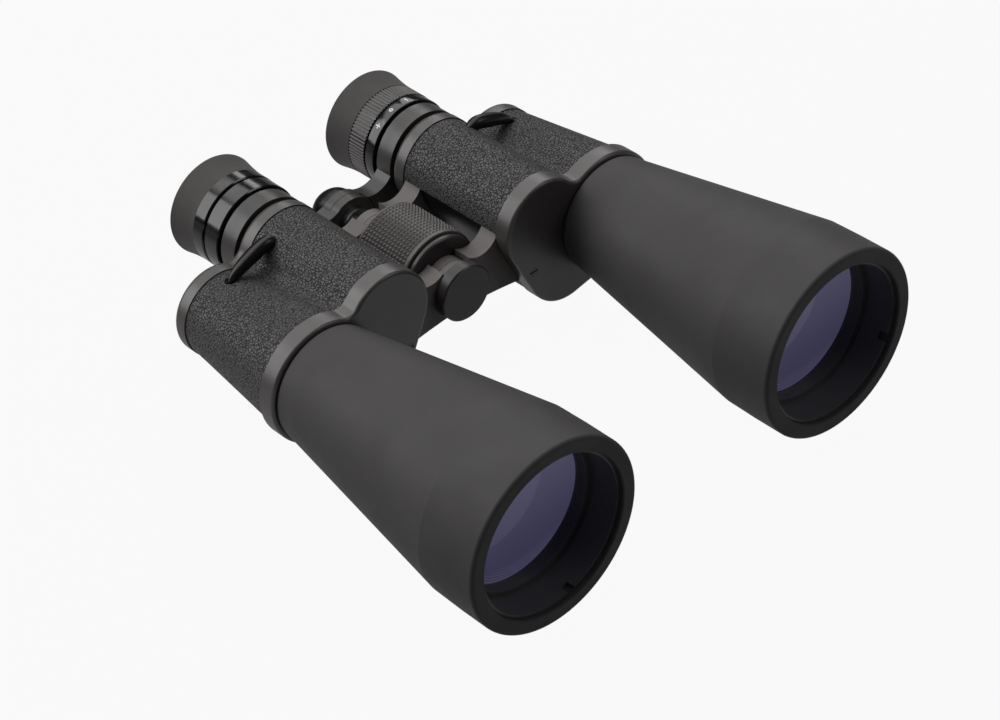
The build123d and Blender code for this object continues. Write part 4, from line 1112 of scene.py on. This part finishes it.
@dataclass
class FocusWheel:
    """Knurled focus wheel between the hinge lugs."""

    axis: tuple[float, float] = (HINGE_X, HINGE_Z)
    r: float = 17.4
    front: float = 131.0
    rear: float = 157.0
    front_edge: float = 1.8
    rear_edge: float = 1.2
    front_drop: float = 0.2
    rear_drop: float = 0.3
    outer_round: float = 0.5
    inner_round: float = 0.3
    bore: float = 5.55
    columns: int = 68
    rows: int = 14
    knurl_height: float = 0.62
    foot_share: float = 0.96
    flat_share: float = 0.24

    def build(self) -> None:
        """Turns the core and grows the knurl round it."""
        core = self.core()
        knurl = self.knurl()
        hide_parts("focus_wheel")
        for piece in (core, knurl):
            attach(piece, Body.WHEEL.value)
            LOG.info("made %s", piece.name)

    def core(self) -> bpy.types.Object:
        """Turns the wheel with a raised edge at both ends of the knurl's floor.

        Returns:
            The core.
        """
        floor = self.r - self.knurl_height
        front_r, rear_r = self.r - self.front_drop, self.r - self.rear_drop
        knurl_from, knurl_to = self.front + self.front_edge, self.rear - self.rear_edge
        corners = (
            Corner(self.bore, self.front),
            Corner(front_r, self.front, self.outer_round),
            Corner(front_r, knurl_from, self.inner_round),
            Corner(floor, knurl_from),
            Corner(floor, knurl_to),
            Corner(rear_r, knurl_to, self.inner_round),
            Corner(rear_r, self.rear, self.outer_round),
            Corner(self.bore, self.rear),
        )
        return lathe("focus_wheel_core", corners, self.axis, WHEEL_GRIP)

    def knurl(self) -> bpy.types.Object:
        """Grows rows of small pyramids on the floor between the edges.

        Returns:
            All pyramids as one mesh.
        """
        pitch = (self.rear - self.rear_edge - self.front - self.front_edge) / self.rows
        start = place(self.axis[0], self.front + self.front_edge + pitch / 2, self.axis[1])
        foot = pitch / 2 * math.sqrt(2) * self.foot_share
        sizes = {
            "Axis X": start.x,
            "Axis Z": start.z,
            "Radius": (self.r - self.knurl_height) * MM,
            "Start": start.y,
            "Length": (self.rows - 1) * pitch * MM,
            "Sweep": 2 * math.pi * (self.columns - 1) / self.columns,
            "Columns": self.columns,
            "Rows": self.rows,
            "Foot": foot * MM,
            "Flat": self.flat_share * foot * MM,
            "Height": self.knurl_height * MM,
        }
        return grow("focus_wheel_knurl", knurl_tree(), sizes, WHEEL_GRIP)


@dataclass
class DioptreRing:
    """Turning ring of the right eyepiece: scale band, groove and ribbed grip."""

    axis: tuple[float, float] = (EYE_X, EYE_Z)
    front: float = 185.7
    rear: float = 199.4
    band: float = 4.5
    groove: float = 0.8
    groove_depth: float = 1.3
    r: float = 18.3
    band_drop: float = 0.2
    seat_drop: float = 0.45
    bore: float = 13.55
    ribs: int = 84
    rib_half: float = 0.5
    rib_sink: float = 0.05
    rib_gap: float = 0.3
    front_round: float = 0.5
    lip_round: float = 0.25
    seat_round: float = 0.2
    sign_station: float = 188.1
    sign_half: float = 1.05
    stroke_half: float = 0.24
    nought_r: float = 0.82
    nought_steps: int = 28
    paint_under: float = 0.05
    paint_over: float = 0.03

    @property
    def band_r(self) -> float:
        """Radius of the scale band."""
        return self.r - self.band_drop

    @property
    def seat_r(self) -> float:
        """Radius that the ribs stand on."""
        return self.r - self.seat_drop

    @property
    def ribs_from(self) -> float:
        """Station where the ribs begin."""
        return self.front + self.band + self.groove

    def build(self) -> None:
        """Turns the ring, grows its ribs and paints its signs."""
        ring = self.ring()
        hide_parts("right_dioptre_ring")
        for piece in (ring, self.grip(), self.signs()):
            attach(piece, Body.DIOPTRE.value)
            LOG.info("made %s", piece.name)

    def ring(self) -> bpy.types.Object:
        """Turns the scale band, the groove behind it and the seat of the ribs.

        Returns:
            The ring.
        """
        band_to = self.front + self.band
        corners = (
            Corner(self.bore, self.front),
            Corner(self.band_r, self.front, self.front_round),
            Corner(self.band_r, band_to, self.lip_round),
            Corner(self.r - self.groove_depth, band_to),
            Corner(self.r - self.groove_depth, self.ribs_from),
            Corner(self.seat_r, self.ribs_from, self.seat_round),
            Corner(self.seat_r, self.rear),
            Corner(self.bore, self.rear),
        )
        return lathe("dioptre_ring_band", corners, self.axis, EYEPIECE_GLOSS)

    def grip(self) -> bpy.types.Object:
        """Grows the ribs round their seat.

        Returns:
            All ribs as one mesh.
        """
        start = place(self.axis[0], (self.ribs_from + self.rear) / 2, self.axis[1])
        sizes = {
            "Axis X": start.x,
            "Axis Z": start.z,
            "Radius": (self.seat_r - self.rib_sink) * MM,
            "Station": start.y,
            "Count": self.ribs,
            "Step": 2 * math.pi / self.ribs,
            "Half Width": self.rib_half * MM,
            "Length": (self.rear - self.ribs_from - self.rib_gap) * MM,
        }
        return grow("dioptre_ring_ribs", rib_tree(), sizes, WHEEL_GRIP)

    def signs(self) -> bpy.types.Object:
        """Draws the plus, nought and minus as thin paint on the band.

        Returns:
            One mesh with all three signs.
        """
        half, stroke = self.sign_half, self.stroke_half
        patches = [
            self.bar(Sign.PLUS, (-stroke, stroke), (-half, half)),
            self.bar(Sign.PLUS, (-half, -stroke), (-stroke, stroke)),
            self.bar(Sign.PLUS, (stroke, half), (-stroke, stroke)),
            self.bar(Sign.MINUS, (-stroke, stroke), (-half, half)),
        ]
        patches += [self.nought_piece(k) for k in range(self.nought_steps)]
        verts: list[tuple[float, ...]] = []
        faces: list[tuple[int, ...]] = []
        for rows in patches:
            self.slab(verts, faces, rows)
        mesh = bpy.data.meshes.new("dioptre_signs")
        mesh.from_pydata(verts, [], faces)
        mesh.materials.append(SIGN_PAINT.material())
        return finish_mesh("dioptre_signs", mesh)

    def bar(self, sign: Sign, us: tuple[float, float], vs: tuple[float, float]) -> Rows:
        """Gives two rows of band points between a stroke's ends round and along the band."""
        across = (us[0], (us[0] + us[1]) / 2, us[1])
        return [[self.on_band(sign, u, v) for u in across] for v in vs]

    def nought_piece(self, k: int) -> Rows:
        """Finds one short piece of the nought's ring.

        Args:
            k: Number of the piece.

        Returns:
            Two rows of band points.
        """
        turns = [2 * math.pi * i / self.nought_steps for i in (k, k + 1)]
        radii = (self.nought_r - 2 * self.stroke_half, self.nought_r)
        ends = [(math.cos(t), math.sin(t)) for t in turns]
        return [[self.on_band(Sign.NOUGHT, r * u, r * v) for u, v in ends] for r in radii]

    def on_band(self, sign: Sign, u: float, v: float) -> tuple[float, float]:
        """Gives the angle and station of a point u round and v along from a sign's middle."""
        return math.radians(sign.value) + u / self.band_r, self.sign_station + v

    def slab(
        self, verts: list[tuple[float, ...]], faces: list[tuple[int, ...]], rows: Rows
    ) -> None:
        """Adds a thin closed slab of paint over a two-row patch.

        Args:
            verts: Vertices so far.
            faces: Faces so far.
            rows: Two rows of band points.
        """
        base = len(verts)
        n = len(rows[0])
        for r in (self.band_r - self.paint_under, self.band_r + self.paint_over):
            for a, y in (*rows[0], *rows[1]):
                x, z = self.axis[0] + r * math.cos(a), self.axis[1] + r * math.sin(a)
                verts.append(tuple(place(x, y, z)))

        def at(level: int, row: int, k: int) -> int:
            """Index of a slab vertex."""
            return base + level * 2 * n + row * n + k

        for k in range(n - 1):
            faces.append((at(1, 0, k), at(1, 0, k + 1), at(1, 1, k + 1), at(1, 1, k)))
            faces.append((at(0, 0, k + 1), at(0, 0, k), at(0, 1, k), at(0, 1, k + 1)))
            for row in (0, 1):
                faces.append((at(0, row, k), at(0, row, k + 1), at(1, row, k + 1), at(1, row, k)))
        for k in (0, n - 1):
            faces.append((at(0, 0, k), at(0, 1, k), at(1, 1, k), at(1, 0, k)))


@dataclass
class Hinge:
    """Hinge, bridge and the turned pieces on their axis."""

    def build(self) -> None:
        """Dresses the nodes on the hinge axis and the eyepiece bridge."""
        dress_nodes(HINGE_TURNED, "hinge_cap", "focus_stop_disc", "focus_spacer")
        dress_nodes(STEEL, "hinge_axle", "focus_spindle", "drive_pin", "right_cell_circlip")
        dress_nodes(LEFT_BRIDGE, "left_bridge_arm")
        dress_nodes(RIGHT_BRIDGE, "right_bridge_arm")
        dress_nodes(DOME_GLOSS, "bridge_cap")


@dataclass
class Eyepieces:
    """Rubber eyecups and the fixed left ring."""

    def build(self) -> None:
        """Dresses the eyecups and the left ring."""
        dress_nodes(EYECUP_RUBBER, "left_eyecup", "right_eyecup")
        dress_nodes(EYEPIECE_GLOSS, "left_eyepiece_ring")


@dataclass(frozen=True)
class SoftBox:
    """A soft studio lamp: its place and size in metres and its power in watts."""

    name: str
    spot: tuple[float, float, float]
    size: tuple[float, float]
    watts: float

    def hang(self, aim: Vector) -> None:
        """Hangs the box so that it looks at a point.

        Args:
            aim: Point in metres.
        """
        data = bpy.data.lights.new(self.name, "AREA")
        data.shape = "RECTANGLE"
        data.size, data.size_y = self.size
        data.energy = self.watts
        obj = bpy.data.objects.new(self.name, data)
        obj.location = self.spot
        obj.rotation_euler = (aim - Vector(self.spot)).to_track_quat("-Z", "Y").to_euler()
        bpy.context.scene.collection.objects.link(obj)


@dataclass
class Studio:
    """White sweep, soft boxes and the camera at the photograph's angle.

    The camera was solved from the photograph. Its eye is in the drawing frame, and
    its angles are in degrees: it is rolled, then tilted, then turned to its bearing.
    Other lengths are in metres. The white that mirrors see is strong round the object
    and fades out behind it, from the start of the fade to its end.
    """

    boxes: tuple[SoftBox, ...] = (
        SoftBox("top_box", (-0.08, 0.42, 1.2), (1.7, 1.2), 13.6),
        SoftBox("left_back_box", (-0.82, 0.84, 0.64), (0.88, 0.96), 8.0),
        SoftBox("right_back_box", (0.95, 0.8, 0.75), (0.6, 0.6), 2.8),
        SoftBox("front_right_box", (0.85, -0.8, 0.95), (0.6, 0.6), 2.2),
    )
    aim_height: float = 0.04
    room: str = "#c9c9cb"
    room_level: float = 0.06
    floor_half: float = 4.0
    floor_drop: float = 0.0006
    paper: str = "#6c6c6c"
    seen_white: float = 0.94
    mirrored_ahead: float = 0.4
    mirrored_behind: float = 0.04
    fade_start: float = 0.14
    fade_end: float = 0.26
    focal_px: float = 3001.324
    photo_px: int = 1000
    film_mm: float = 36.0
    nearest: float = 0.05
    farthest: float = 20.0
    eye: tuple[float, float, float] = (-527.601, -532.854, 641.782)
    bearing: float = -39.8084
    tilt: float = 51.1262
    roll: float = -4.5384

    def build(self) -> None:
        """Makes the floor, world, lamps and camera."""
        self.floor()
        self.world()
        for box in self.boxes:
            box.hang(Vector((0.0, 0.0, self.aim_height)))
        self.camera()

    def floor(self) -> None:
        """Lays a white floor that keeps a faint shadow."""
        half, z = self.floor_half, -self.floor_drop
        mesh = bpy.data.meshes.new("studio_floor")
        corners = [(-half, -half, z), (half, -half, z), (half, half, z), (-half, half, z)]
        mesh.from_pydata(corners, [], [(0, 1, 2, 3)])
        mesh.materials.append(self.sweep())
        obj = bpy.data.objects.new("studio_floor", mesh)
        bpy.context.scene.collection.objects.link(obj)

    def sweep(self) -> bpy.types.Material:
        """Makes paper that the camera sees as white and that lights the object as grey.

        Returns:
            The material.
        """
        made = bpy.data.materials.new("white_paper_sweep")
        made.use_nodes = True
        tree = made.node_tree
        tree.nodes.clear()
        paper = add_node(tree, "ShaderNodeBsdfDiffuse", {"Color": to_linear(self.paper)})["BSDF"]
        feeds = {"Color": to_linear("#ffffff"), "Strength": 1.0}
        glow = add_node(tree, "ShaderNodeEmission", feeds)["Emission"]
        path = add_node(tree, "ShaderNodeLightPath")
        kind = "ShaderNodeMath"
        feeds = {0: path["Is Glossy Ray"], 1: path["Is Transmission Ray"]}
        mirror = add_node(tree, kind, feeds, operation="MAXIMUM")["Value"]
        coords = add_node(tree, "ShaderNodeTexCoord")["Object"]
        station = add_node(tree, "ShaderNodeSeparateXYZ", {0: coords})["Y"]
        feeds = {
            "Value": station,
            "From Min": self.fade_end,
            "From Max": self.fade_start,
            "To Min": self.mirrored_behind,
            "To Max": self.mirrored_ahead,
        }
        smooth = "SMOOTHSTEP"
        near = add_node(tree, "ShaderNodeMapRange", feeds, interpolation_type=smooth)["Result"]
        shine = add_node(tree, kind, {0: mirror, 1: near}, operation="MULTIPLY")["Value"]
        feeds = {0: path["Is Camera Ray"], 1: self.seen_white, 2: shine}
        share = add_node(tree, kind, feeds, operation="MULTIPLY_ADD")["Value"]
        mix = add_node(tree, "ShaderNodeMixShader", {0: share, 1: paper, 2: glow})["Shader"]
        add_node(tree, "ShaderNodeOutputMaterial", {"Surface": mix})
        return made

    def world(self) -> None:
        """Sets a dim even room."""
        made = bpy.data.worlds.new("grey_room")
        made.use_nodes = True
        tree = made.node_tree
        sky = tree.nodes["Background"]
        feed(tree, sky, {"Color": to_linear(self.room), "Strength": self.room_level})
        bpy.context.scene.world = made

    def camera(self) -> None:
        """Sets the camera that was solved from the photograph."""
        data = bpy.data.cameras.new("studio_camera")
        data.sensor_width = self.film_mm
        data.lens = self.film_mm * self.focal_px / self.photo_px
        data.clip_start, data.clip_end = self.nearest, self.farthest
        obj = bpy.data.objects.new("studio_camera", data)
        turn = Matrix.Identity(4)
        for angle, axis in ((self.bearing, "Z"), (self.tilt, "X"), (self.roll, "Z")):
            turn = turn @ Matrix.Rotation(math.radians(angle), 4, axis)
        obj.matrix_world = Matrix.Translation(place(*self.eye)) @ turn
        bpy.context.scene.collection.objects.link(obj)
        bpy.context.scene.camera = obj


def main() -> None:
    """Builds the sub-assemblies in order."""
    logging.basicConfig(level=logging.INFO, format="%(name)s: %(message)s")
    ridges = ridge_tree()
    for side in Side:
        Barrel(side).build(ridges)
        StrapBar(side).build()
    Hinge().build()
    FocusWheel().build()
    DioptreRing().build()
    Eyepieces().build()
    Studio().build()
    bpy.context.scene.view_settings.view_transform = "Standard"


if __name__ == "__main__":
    main()
